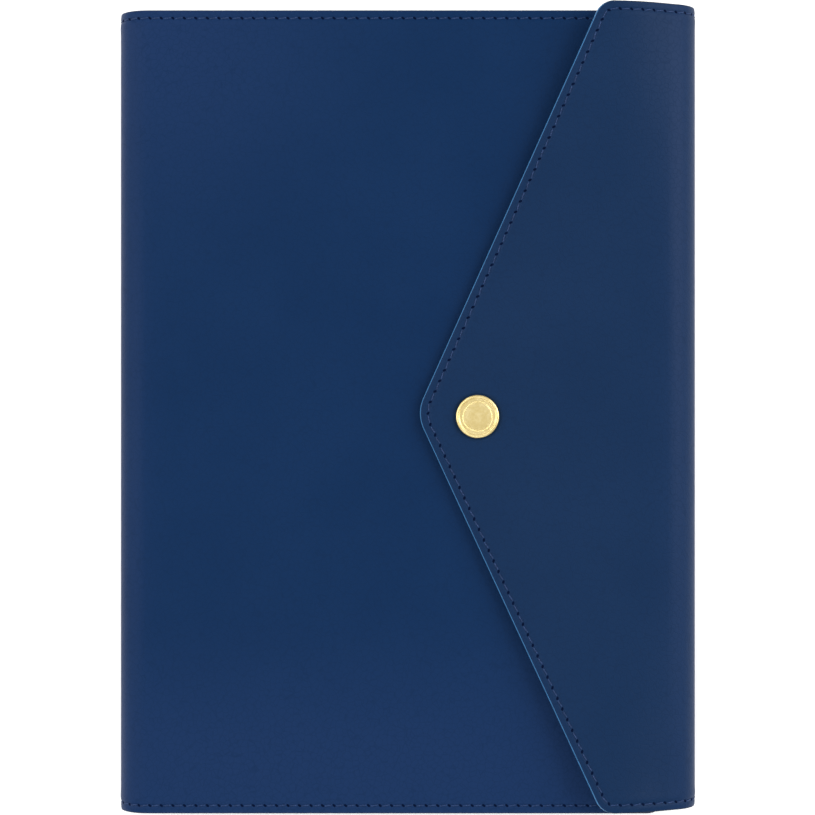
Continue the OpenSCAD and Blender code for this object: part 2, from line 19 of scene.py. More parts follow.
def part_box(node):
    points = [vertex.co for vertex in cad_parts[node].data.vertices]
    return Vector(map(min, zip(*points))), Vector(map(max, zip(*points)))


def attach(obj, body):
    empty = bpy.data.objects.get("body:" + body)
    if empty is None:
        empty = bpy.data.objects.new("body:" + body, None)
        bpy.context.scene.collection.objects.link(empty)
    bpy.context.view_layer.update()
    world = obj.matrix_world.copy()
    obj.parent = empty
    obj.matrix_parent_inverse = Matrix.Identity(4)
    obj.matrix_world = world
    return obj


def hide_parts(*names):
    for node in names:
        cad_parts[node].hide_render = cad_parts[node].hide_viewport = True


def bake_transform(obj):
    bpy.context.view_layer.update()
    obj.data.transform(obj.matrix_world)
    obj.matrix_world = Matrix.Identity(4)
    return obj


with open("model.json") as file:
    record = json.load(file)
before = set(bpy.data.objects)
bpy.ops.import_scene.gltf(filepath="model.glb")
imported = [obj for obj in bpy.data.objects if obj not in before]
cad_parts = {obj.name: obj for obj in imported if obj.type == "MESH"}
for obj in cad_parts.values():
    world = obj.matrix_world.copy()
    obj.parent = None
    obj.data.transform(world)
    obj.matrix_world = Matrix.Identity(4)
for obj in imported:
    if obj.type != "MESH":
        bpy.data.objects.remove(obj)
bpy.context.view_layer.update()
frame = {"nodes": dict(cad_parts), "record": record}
MM = 0.001

# %% [markdown]
# ## Driving values
# The frame's boxes give the outer faces of the folds, the heights of the panels and the lengths
# along the spine. The few values that a box can't give, such as the radius of a fold, are named
# here.

# %% Sizes from the frame, in millimetres
def box_mm(node):
    """The two corners of a node's box, in millimetres."""
    low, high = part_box(node)
    return [v / MM for v in low], [v / MM for v in high]


spine_low, _ = box_mm("spine_leather")
_, gusset_high = box_mm("gusset_leather")
cover_low, cover_high = box_mm("front_leather")
flap_low, flap_high = box_mm("flap_leather")
cap_low, cap_high = box_mm("snap_cap")

LEFT_X, RIGHT_X = spine_low[0], gusset_high[0]
COVER_Z, FLAP_Z = cover_high[2], flap_high[2]
COVER_EDGE = cover_high[0]
LENGTH = cover_high[1] - cover_low[1]
LEFT_MID = (cover_low[1] + cover_high[1]) / 2
RIGHT_MID = (flap_low[1] + flap_high[1]) / 2
SNAP = ((cap_low[0] + cap_high[0]) / 2, (cap_low[1] + cap_high[1]) / 2)
LEATHER = 1.2
LINING = 0.6
FOLD_R = 10.0
FLAP_FOLD_R = 10.9
PANEL_X = RIGHT_X - FOLD_R
FLAP_ROOT = RIGHT_X - FLAP_FOLD_R
FLAP_SHOULDER = 20.7
FLAP_REACH = 79.6
FLAP_POINT_DROP = 2.1
print("case", round(RIGHT_X - LEFT_X, 1), "wide,", round(LENGTH, 1), "long; snap at", SNAP)

# %% [markdown]
# ## Camera, table and light
# The case lies on a white table and is seen from straight above, through a long lens, so that its
# sides stay upright. A wide, soft light on each side puts a pale line down each rounded fold. Two
# weaker ones lift the spine's upper corner and the lower edge. The table glows a little, which
# keeps the ground white all round the case.

# %% Camera
CAMERA_HEIGHT = 0.700
VIEW_WIDTH = 0.26186
VIEW_CENTRE_Y = 0.6 * MM


def new_object(name, data):
    """An object at the origin of the scene that shows some data."""
    obj = bpy.data.objects.new(name, data)
    bpy.context.scene.collection.objects.link(obj)
    return obj


camera = new_object("camera", bpy.data.cameras.new("camera"))
camera.location = (0, VIEW_CENTRE_Y, COVER_Z * MM + CAMERA_HEIGHT)
camera.data.lens = camera.data.sensor_width * CAMERA_HEIGHT / VIEW_WIDTH
camera.data.clip_start = 0.01
bpy.context.scene.camera = camera
bpy.context.scene.view_settings.view_transform = "Standard"
print("view", round(VIEW_WIDTH / MM), "mm wide")

# %% Lights
# Place, target and size of each light in metres, and its power in watts
LIGHTS = {
    "key_light": ((1.00, 0.30, 0.80), (0, 0, 0), (0.7, 1.0), 9.9),
    "fill_light": ((-1.05, 0.10, 0.75), (0, 0, 0), (0.7, 1.1), 5.5),
    "corner_light": ((-0.42, 0.50, 1.25), (-0.08, 0.08, 0), (0.45, 0.45), 2.6),
    "front_light": ((-0.20, -0.62, 1.20), (0, -0.1, 0), (0.8, 0.35), 2.2),
}
for name, (place, target, size, watts) in LIGHTS.items():
    lamp = bpy.data.lights.new(name, "AREA")
    lamp.shape, lamp.energy = "RECTANGLE", watts
    lamp.size, lamp.size_y = size
    light = new_object(name, lamp)
    light.location = place
    light.rotation_euler = (Vector(target) - Vector(place)).to_track_quat("-Z", "Y").to_euler()
print(len(LIGHTS), "lights,", round(sum(light[3] for light in LIGHTS.values()), 1), "W")

# %% Room and table
ROOM_LIGHT = 0.75
TABLE_GLOW = 0.25
TABLE_SIDE, TABLE_Z = 3.0, -0.0002

world = bpy.data.worlds.new("room")
world.use_nodes = True
room = world.node_tree
height, split, shade = (room.nodes.new(f"ShaderNode{kind}")
                        for kind in ("TexCoord", "SeparateXYZ", "ValToRGB"))
room.links.new(height.outputs["Generated"], split.inputs[0])
room.links.new(split.outputs["Z"], shade.inputs["Fac"])
room.links.new(shade.outputs["Color"], room.nodes["Background"].inputs["Color"])
# White walls under a slightly darker ceiling
for stop, (place, grey) in zip(shade.color_ramp.elements, ((0.5, 1.0), (0.95, 0.8))):
    stop.position, stop.color = place, (grey, grey, grey, 1)
room.nodes["Background"].inputs["Strength"].default_value = ROOM_LIGHT
bpy.context.scene.world = world

table_mesh = bpy.data.meshes.new("table")
table_mesh.from_pydata([(x * TABLE_SIDE, y * TABLE_SIDE, TABLE_Z)
                        for x, y in ((-1, -1), (1, -1), (1, 1), (-1, 1))], [], [(0, 1, 2, 3)])
table = new_object("table", table_mesh)
table_finish = bpy.data.materials.new("white_table")
table_finish.use_nodes = True
for label, value in (("Base Color", (0.96, 0.96, 0.96, 1)), ("Roughness", 0.9),
                     ("Specular IOR Level", 0.1), ("Emission Color", (1, 1, 1, 1)),
                     ("Emission Strength", TABLE_GLOW)):
    table_finish.node_tree.nodes["Principled BSDF"].inputs[label].default_value = value
table_mesh.materials.append(table_finish)
print("table", 2 * TABLE_SIDE, "m wide")

# %% [markdown]
# ## Finishes as expressions
# A node material is easier to read as arithmetic. `Value` wraps one output socket, and the
# operators on it add Math nodes, so `spots * 0.3 + 0.1` is two nodes. Every other node comes from
# `Finish.node`.

# %% Shader helpers
class Value:
    """One number that varies over a surface, as the output of a shader node."""

    def __init__(self, finish, socket):
        self.finish, self.socket = finish, socket

    def math(self, operation, other):
        made = self.finish.node("ShaderNodeMath", {"operation": operation}, {0: self, 1: other})
        return made["Value"]

    def __add__(self, other):
        return self.math("ADD", other)

    __radd__ = __add__

    def __mul__(self, other):
        return self.math("MULTIPLY", other)

    __rmul__ = __mul__

    def __sub__(self, other):
        return self.math("SUBTRACT", other)

    def __rsub__(self, other):
        return (self * -1.0) + other

    def over(self, low, high):
        """0 below low, 1 above high, and smooth between."""
        made = self.finish.node("ShaderNodeMapRange", {"interpolation_type": "SMOOTHSTEP"},
                                {"Value": self, "From Min": low, "From Max": high})
        return made["Result"]


class Finish:
    """A material built up node by node round one Principled shader."""

    def __init__(self, name):
        self.material = bpy.data.materials.new(name)
        self.material.use_nodes = True
        self.nodes = self.material.node_tree.nodes
        self.links = self.material.node_tree.links
        self.shader = self.nodes["Principled BSDF"]

    def node(self, kind, settings, sockets):
        """Adds a node, applies its settings, then feeds its sockets with values or outputs."""
        made = self.nodes.new(kind)
        for key, value in settings.items():
            setattr(made, key, value)
        for key, value in sockets.items():
            self.feed(made.inputs[key], value)
        return {out.name: Value(self, out) for out in made.outputs if out.enabled}

    def feed(self, socket, value):
        if isinstance(value, Value):
            self.links.new(value.socket, socket)
        elif isinstance(value, tuple) and len(value) == 3 and socket.type == "RGBA":
            socket.default_value = (*value, 1)
        else:
            socket.default_value = value

    def set(self, **sockets):
        """Sets sockets of the Principled shader; underscores stand for spaces."""
        for key, value in sockets.items():
            self.feed(self.shader.inputs[key.replace("_", " ")], value)

    def in_mm(self, metres):
        return self.node("ShaderNodeVectorMath", {"operation": "SCALE"},
                         {0: metres, "Scale": 1 / MM})["Vector"]

    def place(self):
        """Object coordinates in millimetres."""
        return self.in_mm(self.node("ShaderNodeTexCoord", {}, {})["Object"])

    def flat(self):
        """The sheet's own flat coordinates in millimetres, which bend with it."""
        return self.in_mm(self.node("ShaderNodeUVMap", {"uv_map": "flat"}, {})["UV"])

    def noise(self, where, per_mm, detail=2.0, rough=0.5):
        return self.node("ShaderNodeTexNoise", {}, {
            "Vector": where, "Scale": per_mm, "Detail": detail, "Roughness": rough})["Fac"]

    def cells(self, where, per_mm, feature="F1"):
        return self.node("ShaderNodeTexVoronoi", {"feature": feature}, {
            "Vector": where, "Scale": per_mm})["Distance"]

    def mix(self, amount, first, second):
        """A colour between two: the Mix node's sockets 0, 6 and 7 are the colour's."""
        made = self.nodes.new("ShaderNodeMix")
        made.data_type = "RGBA"
        for number, value in ((0, amount), (6, first), (7, second)):
            self.feed(made.inputs[number], value)
        return Value(self, made.outputs[2])

    def bump(self, height, distance, strength=1.0, under=None):
        sockets = {"Height": height, "Distance": distance, "Strength": strength}
        if under is not None:
            sockets["Normal"] = under
        return self.node("ShaderNodeBump", {}, sockets)["Normal"]


def scaled(colour, factor):
    """A darker or a lighter colour."""
    return tuple(c * factor for c in colour)


print("bump distances are in metres, patterns in millimetres")

# %% [markdown]
# ## Leather
# The case is smooth, lightly waxed calf leather. Close up, it has a net of fine creases with small
# flat pebbles between them and a few pores. From a step away, it has only a soft sheen and a slight
# unevenness of tone. Along the folds the colour is painted paler, partly for wear and partly as a
# painted highlight.

# %% Leather
TONE = 0.035
GLOSS = 0.44


def leather(name, colour):
    """Fine-grained leather on a sheet's flat coordinates."""
    made = Finish(name)
    flat = made.flat()
    pebbles = made.cells(flat, 1.15, "SMOOTH_F1")
    creases = made.cells(flat, 0.55, "DISTANCE_TO_EDGE").over(0.0, 0.09)
    grain = made.noise(flat, 2.6, 3.0, 0.6)
    pull = made.noise(flat, 0.11, 2.0, 0.5)
    cloud = made.noise(flat, 0.022, 3.0, 0.55)
    light = tuple(c * (1 + TONE) + 0.0008 for c in colour)
    body = made.mix(cloud.over(0.3, 0.7), scaled(colour, 1 - TONE), light)
    # Painted paler where the mask is high: wear and a painted highlight along the folds, and a
    # painted highlight at the cover's bottom and at its upper corner at the spine
    wear_and_sheen = made.node("ShaderNodeAttribute", {"attribute_name": "wear_and_sheen"}, {})["Fac"]
    pale = (colour[0] + 0.005, colour[1] * 1.1 + 0.0045, colour[2] * 1.22 + 0.002)
    body = made.mix(wear_and_sheen * (0.6 + 0.4 * grain), body, pale)
    body = made.mix((1 - creases) * 0.35, body, scaled(colour, 0.72))
    rough = GLOSS + 0.07 * grain + 0.05 * (1 - creases) - 0.05 * pull
    soft = made.bump(pull, 0.00022, 0.6)
    coarse = made.bump(pebbles, 0.00006, 0.5, soft)
    fine = made.bump(creases + 0.5 * grain, 0.00003, 0.6, coarse)
    made.set(Base_Color=body, Roughness=rough, Normal=fine, Specular_IOR_Level=0.08)
    return made.material


COVER_LEATHER = leather("navy_cover_leather", (0.0016, 0.0200, 0.0725))
FLAP_LEATHER = leather("navy_flap_leather", (0.0042, 0.0218, 0.0690))
print("leathers:", COVER_LEATHER.name, FLAP_LEATHER.name)

# %% [markdown]
# ## Lining and edge paint
# The lining is a short-napped cloth, mottled and matt, that turns lighter at grazing angles. The
# cut edge of the leather is sealed with a lacquer built up in coats, so it is slightly wavy.
# The flap's slanted edges are bright blue, and its short ends are dark.

# %% Lining and paint
def microfibre(name, colour):
    """Short-napped lining cloth on a sheet's flat coordinates."""
    made = Finish(name)
    flat = made.flat()
    nap = made.noise(flat, 1.6, 4.0, 0.7)
    brushed = made.noise(flat, 0.05)
    body = made.mix(nap.over(0.3, 0.75), scaled(colour, 0.7), colour)
    body = made.mix(brushed.over(0.45, 0.8) * 0.5, body, scaled(colour, 1.5))
    made.set(Base_Color=body, Roughness=0.9 - 0.08 * nap, Normal=made.bump(nap, 0.00008, 0.7),
             Sheen_Weight=0.5, Sheen_Roughness=0.5)
    return made.material


def edge_paint(name, colour, fade=None):
    """The lacquer on a cut edge. fade is a dark colour and the two places in X between which the
    paint turns to it."""
    made = Finish(name)
    where = made.place()
    waves = made.noise(where, 0.7, 3.0)
    body = made.mix(waves.over(0.35, 0.7), scaled(colour, 0.8), colour)
    if fade is not None:
        dark, start, end = fade
        across = made.node("ShaderNodeSeparateXYZ", {}, {0: where})["X"]
        body = made.mix(across.over(start, end), body, dark)
    made.set(Base_Color=body, Roughness=0.35 + 0.15 * waves,
             Normal=made.bump(waves, 0.00012, 0.6), Specular_IOR_Level=0.25)
    return made.material


LINING_CLOTH = microfibre("grey_microfibre", (0.045, 0.052, 0.07))
FLAP_PAINT = edge_paint("blue_edge_paint", (0.038, 0.160, 0.355),
                        fade=((0.004, 0.010, 0.030), 60.0, 65.5))
COVER_PAINT = edge_paint("navy_edge_paint", (0.012, 0.024, 0.06))
print("paints:", FLAP_PAINT.name, COVER_PAINT.name)

# %% [markdown]
# ## The path of the leather
# Seen from its end, the leather follows straight runs and quarter circles. A flat distance along
# that path and a distance along the spine are two coordinates of the sheet before it was folded.
# A `Sheet` turns them into a point in space, so edges, seams and stitches are all laid out flat, as
# a leather worker would cut and mark them.

# %% Rounded outlines
CORNER_STEPS = 12


def circle(centre, radius, steps):
    """Points round a circle."""
    cx, cy = centre
    return [(cx + radius * math.cos(t), cy + radius * math.sin(t))
            for t in np.linspace(0, 2 * math.pi, steps, endpoint=False)]


def corner_arc(a, b, c, inset, radius):
    """The corner b of the path a-b-c, moved inwards and rounded."""
    a, b, c = (np.array(p, float) for p in (a, b, c))
    u, v = (a - b) / np.linalg.norm(a - b), (c - b) / np.linalg.norm(c - b)
    half = math.acos(float(u @ v)) / 2
    inward = (u + v) / np.linalg.norm(u + v)
    middle = b + inward * (inset + radius) / math.sin(half)
    turn = math.pi / 2 - half
    side = 1 if u[0] * v[1] - u[1] * v[0] > 0 else -1
    start = math.atan2(-inward[1], -inward[0]) + side * turn
    angles = start - side * np.linspace(0, 2 * turn, CORNER_STEPS + 1)
    return [tuple(middle + radius * np.array([math.cos(t), math.sin(t)])) for t in angles]


def distance_to_path(x, y, path):
    """Shortest distance from each point to a polyline."""
    best = np.full(np.shape(x), 1e9)
    for (ax, ay), (bx, by) in zip(path, path[1:]):
        dx, dy = bx - ax, by - ay
        t = np.clip(((x - ax) * dx + (y - ay) * dy) / (dx * dx + dy * dy), 0, 1)
        best = np.minimum(best, np.hypot(x - ax - t * dx, y - ay - t * dy))
    return best


def ridge(distance, place, width):
    """A smooth bump of height 1 at a place."""
    return np.exp(-(((distance - place) / width) ** 2))


def smooth(t):
    """0 to 1 with flat ends."""
    t = np.clip(t, 0, 1)
    return t * t * (3 - 2 * t)

# %% Sheets: flat coordinates to space
class Sheet:
    """One stretch of the case: straight rise, quarter fold, then a flat panel.

    s is the distance from the seam at the middle of the rise, y the place along the spine. side is
    -1 at the spine and +1 at the gusset; top is True where the panel is the upper one.
    """

    def __init__(self, side, top, radius, panel_z, seam_z, mid):
        self.side, self.top, self.radius = side, top, radius
        self.panel_z, self.mid = panel_z, mid
        self.seam_z = seam_z
        self.wall_x = LEFT_X if side < 0 else RIGHT_X
        self.up = 1 if top else -1
        self.flipped = (side < 0) != top
        self.rise = abs(panel_z - seam_z) - radius
        self.root = self.rise + radius * math.pi / 2
        self.root_x = self.wall_x - side * radius

    def s_at(self, x):
        """The flat distance of a place on the panel."""
        return self.root - self.side * (x - self.root_x)

    def path(self, s):
        """x, z of the outer face at flat distance s."""
        turn = np.clip((s - self.rise) / self.radius, 0, math.pi / 2)
        x = self.root_x + self.side * self.radius * np.cos(turn)
        z = self.panel_z - self.up * self.radius * (1 - np.sin(turn))
        x = np.where(s > self.root, self.root_x - self.side * (s - self.root), x)
        z = np.where(s < self.rise, self.seam_z + self.up * s, z)
        return x, z

    def lift(self, s, y):
        """How far the leather stands above the plain path."""
        return np.zeros(np.shape(s))

    def point(self, s, y):
        s, y = np.broadcast_arrays(np.asarray(s, float), np.asarray(y, float))
        x, z = self.path(s)
        return np.stack([x, self.skewed(x, y), z + self.lift(s, y)], -1)

    def skewed(self, x, y):
        """The place along the spine in space."""
        return y + self.mid

    def wear_and_sheen(self, s, y):
        """How far the colour is painted paler along the outside of the fold, partly for wear and
        partly as a painted highlight.
        """
        turn = np.clip((s - self.rise) / self.radius, 0, 1.6)
        fold_wear_and_sheen = 0.6 * ridge(turn, 1.15, 0.35) + 0.25 * ridge(turn, 0.3, 0.5)
        return np.where(s > self.root + 6, 0, fold_wear_and_sheen)

    def frame(self, s, y):
        """Point, outward normal and the two directions along the sheet."""
        step = 0.02
        ds = (self.point(s + step, y) - self.point(s - step, y)) / (2 * step)
        dy = (self.point(s, y + step) - self.point(s, y - step)) / (2 * step)
        n = np.cross(ds, dy)
        n /= np.linalg.norm(n, axis=-1, keepdims=True)
        return self.point(s, y), n * (-1 if self.flipped else 1), ds, dy


print("fold of", FOLD_R, "mm takes", round(FOLD_R * math.pi / 2, 1), "mm of leather")

# %% [markdown]
# ## Four sheets
# The case has two seams that don't show: one at the middle of the spine's height and one at the
# middle of the gusset's. They part it into the cover, the flap and the two halves of the back. The
# flap is stiff and is held only by its snap, so its two corners stand up, in a curve that starts
# on the fold. The leather's colour is painted paler along the folds, partly for wear and partly as
# a painted highlight, and painted paler as a highlight at the cover's bottom and at its upper
# corner at the spine.

# %% The four sheets of the case
BOTTOM_FROM, BOTTOM_OVER = 55, 60
CORNER_FROM, CORNER_OVER, CORNER_SHEEN = 6, 95, 1.1
CURL_START, CURL_HEIGHT, CURL_LENGTH, CURL_ALONG = 7.3, 6.4, 11, 2.6
SNAP_PRESS, SNAP_DIP, SNAP_SEAT_R = 0.45, 0.2, 6.6


class CoverSheet(Sheet):
    """Upper half of the spine and the front cover, up to its free edge."""

    def wear_and_sheen(self, s, y):
        x, _ = self.path(s)
        # Painted highlight: the colour turns paler towards the cover's bottom and near its upper
        # corner at the spine
        bottom = smooth((-y - BOTTOM_FROM) / BOTTOM_OVER)
        away = np.hypot(x - LEFT_X - CORNER_FROM, y - HALF)
        corner = CORNER_SHEEN * smooth(1 - away / CORNER_OVER)
        return np.maximum(super().wear_and_sheen(s, y), np.maximum(bottom, corner))


class BackSheet(Sheet):
    """Half of the back panel with its fold; the panel runs slightly askew to meet both sides."""

    def skewed(self, x, y):
        along = np.clip((x + PANEL_X) / (2 * PANEL_X), 0, 1)
        return y + LEFT_MID + (RIGHT_MID - LEFT_MID) * along


class FlapSheet(Sheet):
    """Upper half of the gusset and the flap, with its raised corners and the snap's seat."""

    def lift(self, s, y):
        x, _ = self.path(s)
        reach = np.clip(RIGHT_X - CURL_START - x, 0, None)
        out = np.clip(np.abs(y) / HALF, 0, 1)
        curl = CURL_HEIGHT * (1 - np.exp(-((reach / CURL_LENGTH) ** 1.5))) * out ** CURL_ALONG
        from_snap = np.hypot(x - SNAP[0], y + self.mid - SNAP[1])
        seat = SNAP_PRESS * (1 - smooth((from_snap - SNAP_SEAT_R) / 1.5))
        return curl - SNAP_DIP * ridge(from_snap, 0, 9) - seat


HALF = LENGTH / 2
# Each seam is half-way up the straight rise between a lower and an upper fold
COVER_SEAM = (spine_low[2] + FOLD_R + COVER_Z - FOLD_R) / 2
GUSSET_SEAM = (FOLD_R + FLAP_Z - FLAP_FOLD_R) / 2
cover_sheet = CoverSheet(-1, True, FOLD_R, COVER_Z, COVER_SEAM, LEFT_MID)
back_left_sheet = BackSheet(-1, False, FOLD_R, 0, COVER_SEAM, LEFT_MID)
back_right_sheet = BackSheet(1, False, FOLD_R, 0, GUSSET_SEAM, RIGHT_MID)
flap_sheet = FlapSheet(1, True, FLAP_FOLD_R, FLAP_Z, GUSSET_SEAM, RIGHT_MID)
snap_flat = (flap_sheet.s_at(SNAP[0]), SNAP[1] - RIGHT_MID)
print("seams at", round(COVER_SEAM, 2), "and", round(GUSSET_SEAM, 2), "mm up")

# %% [markdown]
# ## Free edges
# The paint, the groove and the stitches all run at a fixed distance from the cut edge. An edge that
# can be moved inwards gives a path for each of them, with the same number of points every time, so
# that two neighbouring paths can be joined by a strip of faces.

# %% Free edges, as paths that can be moved inwards
EDGE_STEP = 1.05
LEAST_RADIUS = 0.25


class CutEdge:
    """The one free edge of the cover or the flap, with rounded corners, from seam to seam."""

    far_end = None

    def __init__(self, points, radii):
        self.points, self.radii = points, radii

    def at(self, inset):
        """The edge moved inwards, as a list of one path."""
        ends = [self.points[0], self.points[-1]]
        moved = [(s, y + (inset if y < 0 else -inset)) for s, y in ends]
        legs = [[moved[0]]]
        for a, b, c, r in zip(self.points, self.points[1:], self.points[2:], self.radii):
            legs.append(corner_arc(a, b, c, inset, max(r - inset, LEAST_RADIUS)))
        legs.append([moved[1]])
        result = []
        for number, (leg, nxt) in enumerate(zip(legs, legs[1:])):
            rest = self.points[number], self.points[number + 1]
            count = max(1, round(math.dist(*rest) / EDGE_STEP))
            (s0, y0), (s1, y1) = leg[-1], nxt[0]
            result += leg[:-1]
            result += [(s0 + (s1 - s0) * k / count, y0 + (y1 - y0) * k / count)
                       for k in range(count)]
        return [np.array(result + [legs[-1][0]])]

    def distance(self, points):
        """Distance of flat points from the cut edge."""
        return distance_to_path(points[:, 0], points[:, 1], [tuple(p) for p in self.at(0)[0]])


class SideEdges:
    """The two straight free edges of half the back, which ends at a second seam."""

    def __init__(self, far_end):
        self.far_end = far_end

    def at(self, inset):
        s = np.linspace(0, self.far_end, round(self.far_end / EDGE_STEP) + 1)
        return [np.stack([s, np.full_like(s, inset - HALF)], 1),
                np.stack([s[::-1], np.full_like(s, HALF - inset)], 1)]

    def distance(self, points):
        return HALF - np.abs(points[:, 1])


free_s = cover_sheet.s_at(COVER_EDGE)
shoulder_s = flap_sheet.s_at(FLAP_ROOT - FLAP_SHOULDER)
point_s = flap_sheet.s_at(FLAP_ROOT - FLAP_REACH)
cover_edge = CutEdge([(0, -HALF), (free_s, -HALF), (free_s, HALF), (0, HALF)], [7, 7])
flap_edge = CutEdge([(0, -HALF), (shoulder_s, -HALF), (point_s, -FLAP_POINT_DROP),
                     (shoulder_s, HALF), (0, HALF)], [6.5, 12, 6.5])
back_left_edge = SideEdges(back_left_sheet.s_at(0))
back_right_edge = SideEdges(back_right_sheet.s_at(0))
print("flap edge has", len(flap_edge.at(0)[0]), "points, the cover's", len(cover_edge.at(0)[0]))

# %% [markdown]
# ## Building a layer
# A layer is a slab on a sheet: strips that follow the free edge, a filling of triangles, the same
# again for its inner face, and a rounded rim between them. Close strips near the edge give the
# stitching groove and the rounded rim enough vertices, while the flat middle needs few.

# %% Flat faces of a layer
# Distances of the strips from the cut edge, and the steps between the points of the filling
STRIPS = (0.7, 1.1, 1.5, 1.9, 2.2, 2.5, 2.8, 3.1, 3.5, 4.0, 4.7, 5.6, 6.8)
FOLD_STEP, PANEL_STEP, ROW_STEP = 1.25, 5.0, 5.5
END_MARGIN = 12
CLEAR_OF_STRIPS = 2.2
RING_SIDES = 40
RINGS_AT_SNAP = (4.5, 6, 6.6, 7, 7.4, 7.8, 8.3, 9.5, 11.5)
CLEAR_OF_SNAP = 13


def fill(loop, inner, hole=None):
    """Triangles inside a loop of flat points, through the inner points and round a hole."""
    points = loop + inner
    edges = [(k, (k + 1) % len(loop)) for k in range(len(loop))]
    if hole:
        base = len(points)
        points = points + circle(*hole, RING_SIDES)
        edges += [(base + k, base + (k + 1) % RING_SIDES) for k in range(RING_SIDES)]
    flat = [Vector(point) for point in points]
    verts, _, faces, origins, _, _ = delaunay_2d_cdt(flat, edges, [], 1, 1e-5)
    if hole:
        # The triangles that cover the hole are left out
        centre, radius = hole
        faces = [f for f in faces if math.dist(
            [sum(verts[i][axis] for i in f) / 3 for axis in (0, 1)], centre) > radius * 0.985]
    return [tuple(v) for v in verts], faces, origins


def inner_points(sheet, edge, last, hole):
    """Points for the filling: close rows over the fold, wide ones on the panel, and rings round
    the hole."""
    fold = np.arange(1, 1 + int(sheet.root / FOLD_STEP)) * FOLD_STEP
    limit = max(last[:, 0])
    flat = np.arange(fold[-1] + 3, limit, PANEL_STEP)
    rows = np.arange(END_MARGIN - HALF, HALF - END_MARGIN + 1, ROW_STEP)
    seam = [(0.0, y) for y in rows[::-1] if abs(y) < HALF - STRIPS[-1] - 3]
    loop = [(tuple(p), k) for k, p in enumerate(last)]
    if edge.far_end:
        half = len(last) // 2
        loop[half:half] = [((edge.far_end, -y), None) for _, y in seam]
    loop += [(p, None) for p in seam]
    polygon = np.array([p for p, _ in loop])
    inner = [(float(s), float(y)) for s in np.concatenate([fold, flat]) for y in rows
             if s < limit - 2 and inside(polygon, s, y)
             and np.min(np.hypot(last[:, 0] - s, last[:, 1] - y)) > CLEAR_OF_STRIPS]
    if sheet is flap_sheet:
        inner = [p for p in inner if math.dist(p, snap_flat) > CLEAR_OF_SNAP]
        for r in RINGS_AT_SNAP:
            if not hole or r > hole[1] + 0.5:
                inner += circle(snap_flat, r, RING_SIDES)
    return loop, inner


def flat_layout(sheet, edge, start, hole=None):
    """Flat points and faces of a layer whose edge is moved in by start, and where each free edge's
    points begin and how many there are."""
    rings = [edge.at(d) for d in [start] + [d for d in STRIPS if d > start + 0.15]]
    parts = len(rings[0])
    points = [part for ring in rings for part in ring]
    first = [0]
    for part in points:
        first.append(first[-1] + len(part))
    faces = []
    for k, ring in enumerate(rings[:-1]):
        for j, part in enumerate(ring):
            a, b = first[k * parts + j], first[(k + 1) * parts + j]
            faces += [[a + i, a + i + 1, b + i + 1, b + i] for i in range(len(part) - 1)]
    last_start, total = first[-1 - parts], first[-1]
    loop, inner = inner_points(sheet, edge, np.concatenate(rings[-1]), hole)
    verts, made, origins = fill([p for p, _ in loop], inner, hole)
    lookup, extra = [], []
    for vert, source in zip(verts, origins):
        known = [loop[o][1] for o in source if o < len(loop) and loop[o][1] is not None]
        if known:
            lookup.append(last_start + known[0])
        else:
            lookup.append(total + len(extra))
            extra.append(vert)
    for face in made:
        a, b, c = (verts[i] for i in face)
        turn = (b[0] - a[0]) * (c[1] - a[1]) - (b[1] - a[1]) * (c[0] - a[0])
        faces.append([lookup[i] for i in (face if turn > 0 else face[::-1])])
    starts = [(first[j], len(rings[0][j])) for j in range(parts)]
    return np.concatenate(points + [np.array(extra)]), faces, starts


def inside(polygon, s, y):
    """Whether a flat point is inside a closed polygon."""
    a, b = polygon, np.roll(polygon, -1, 0)
    crosses = (a[:, 1] > y) != (b[:, 1] > y)
    with np.errstate(divide="ignore", invalid="ignore"):
        at = a[:, 0] + (y - a[:, 1]) / (b[:, 1] - a[:, 1]) * (b[:, 0] - a[:, 0])
    return bool(np.count_nonzero(crosses & (s < at)) % 2)

# %% A layer with its rounded rim
RIM_TURNS = np.radians([22, 45, 68, 90])
SHARP_SEAM = math.radians(60)


def mesh_object(name, verts, faces, materials, face_materials=None, smooth_faces=True):
    """An object at the origin from points in millimetres."""
    mesh = bpy.data.meshes.new(name)
    mesh.from_pydata([tuple(float(c) * MM for c in v) for v in verts], [], faces)
    for material in materials:
        mesh.materials.append(material)
    if face_materials is not None:
        mesh.polygons.foreach_set("material_index", face_materials)
    if smooth_faces:
        mesh.shade_smooth()
    return new_object(name, mesh)


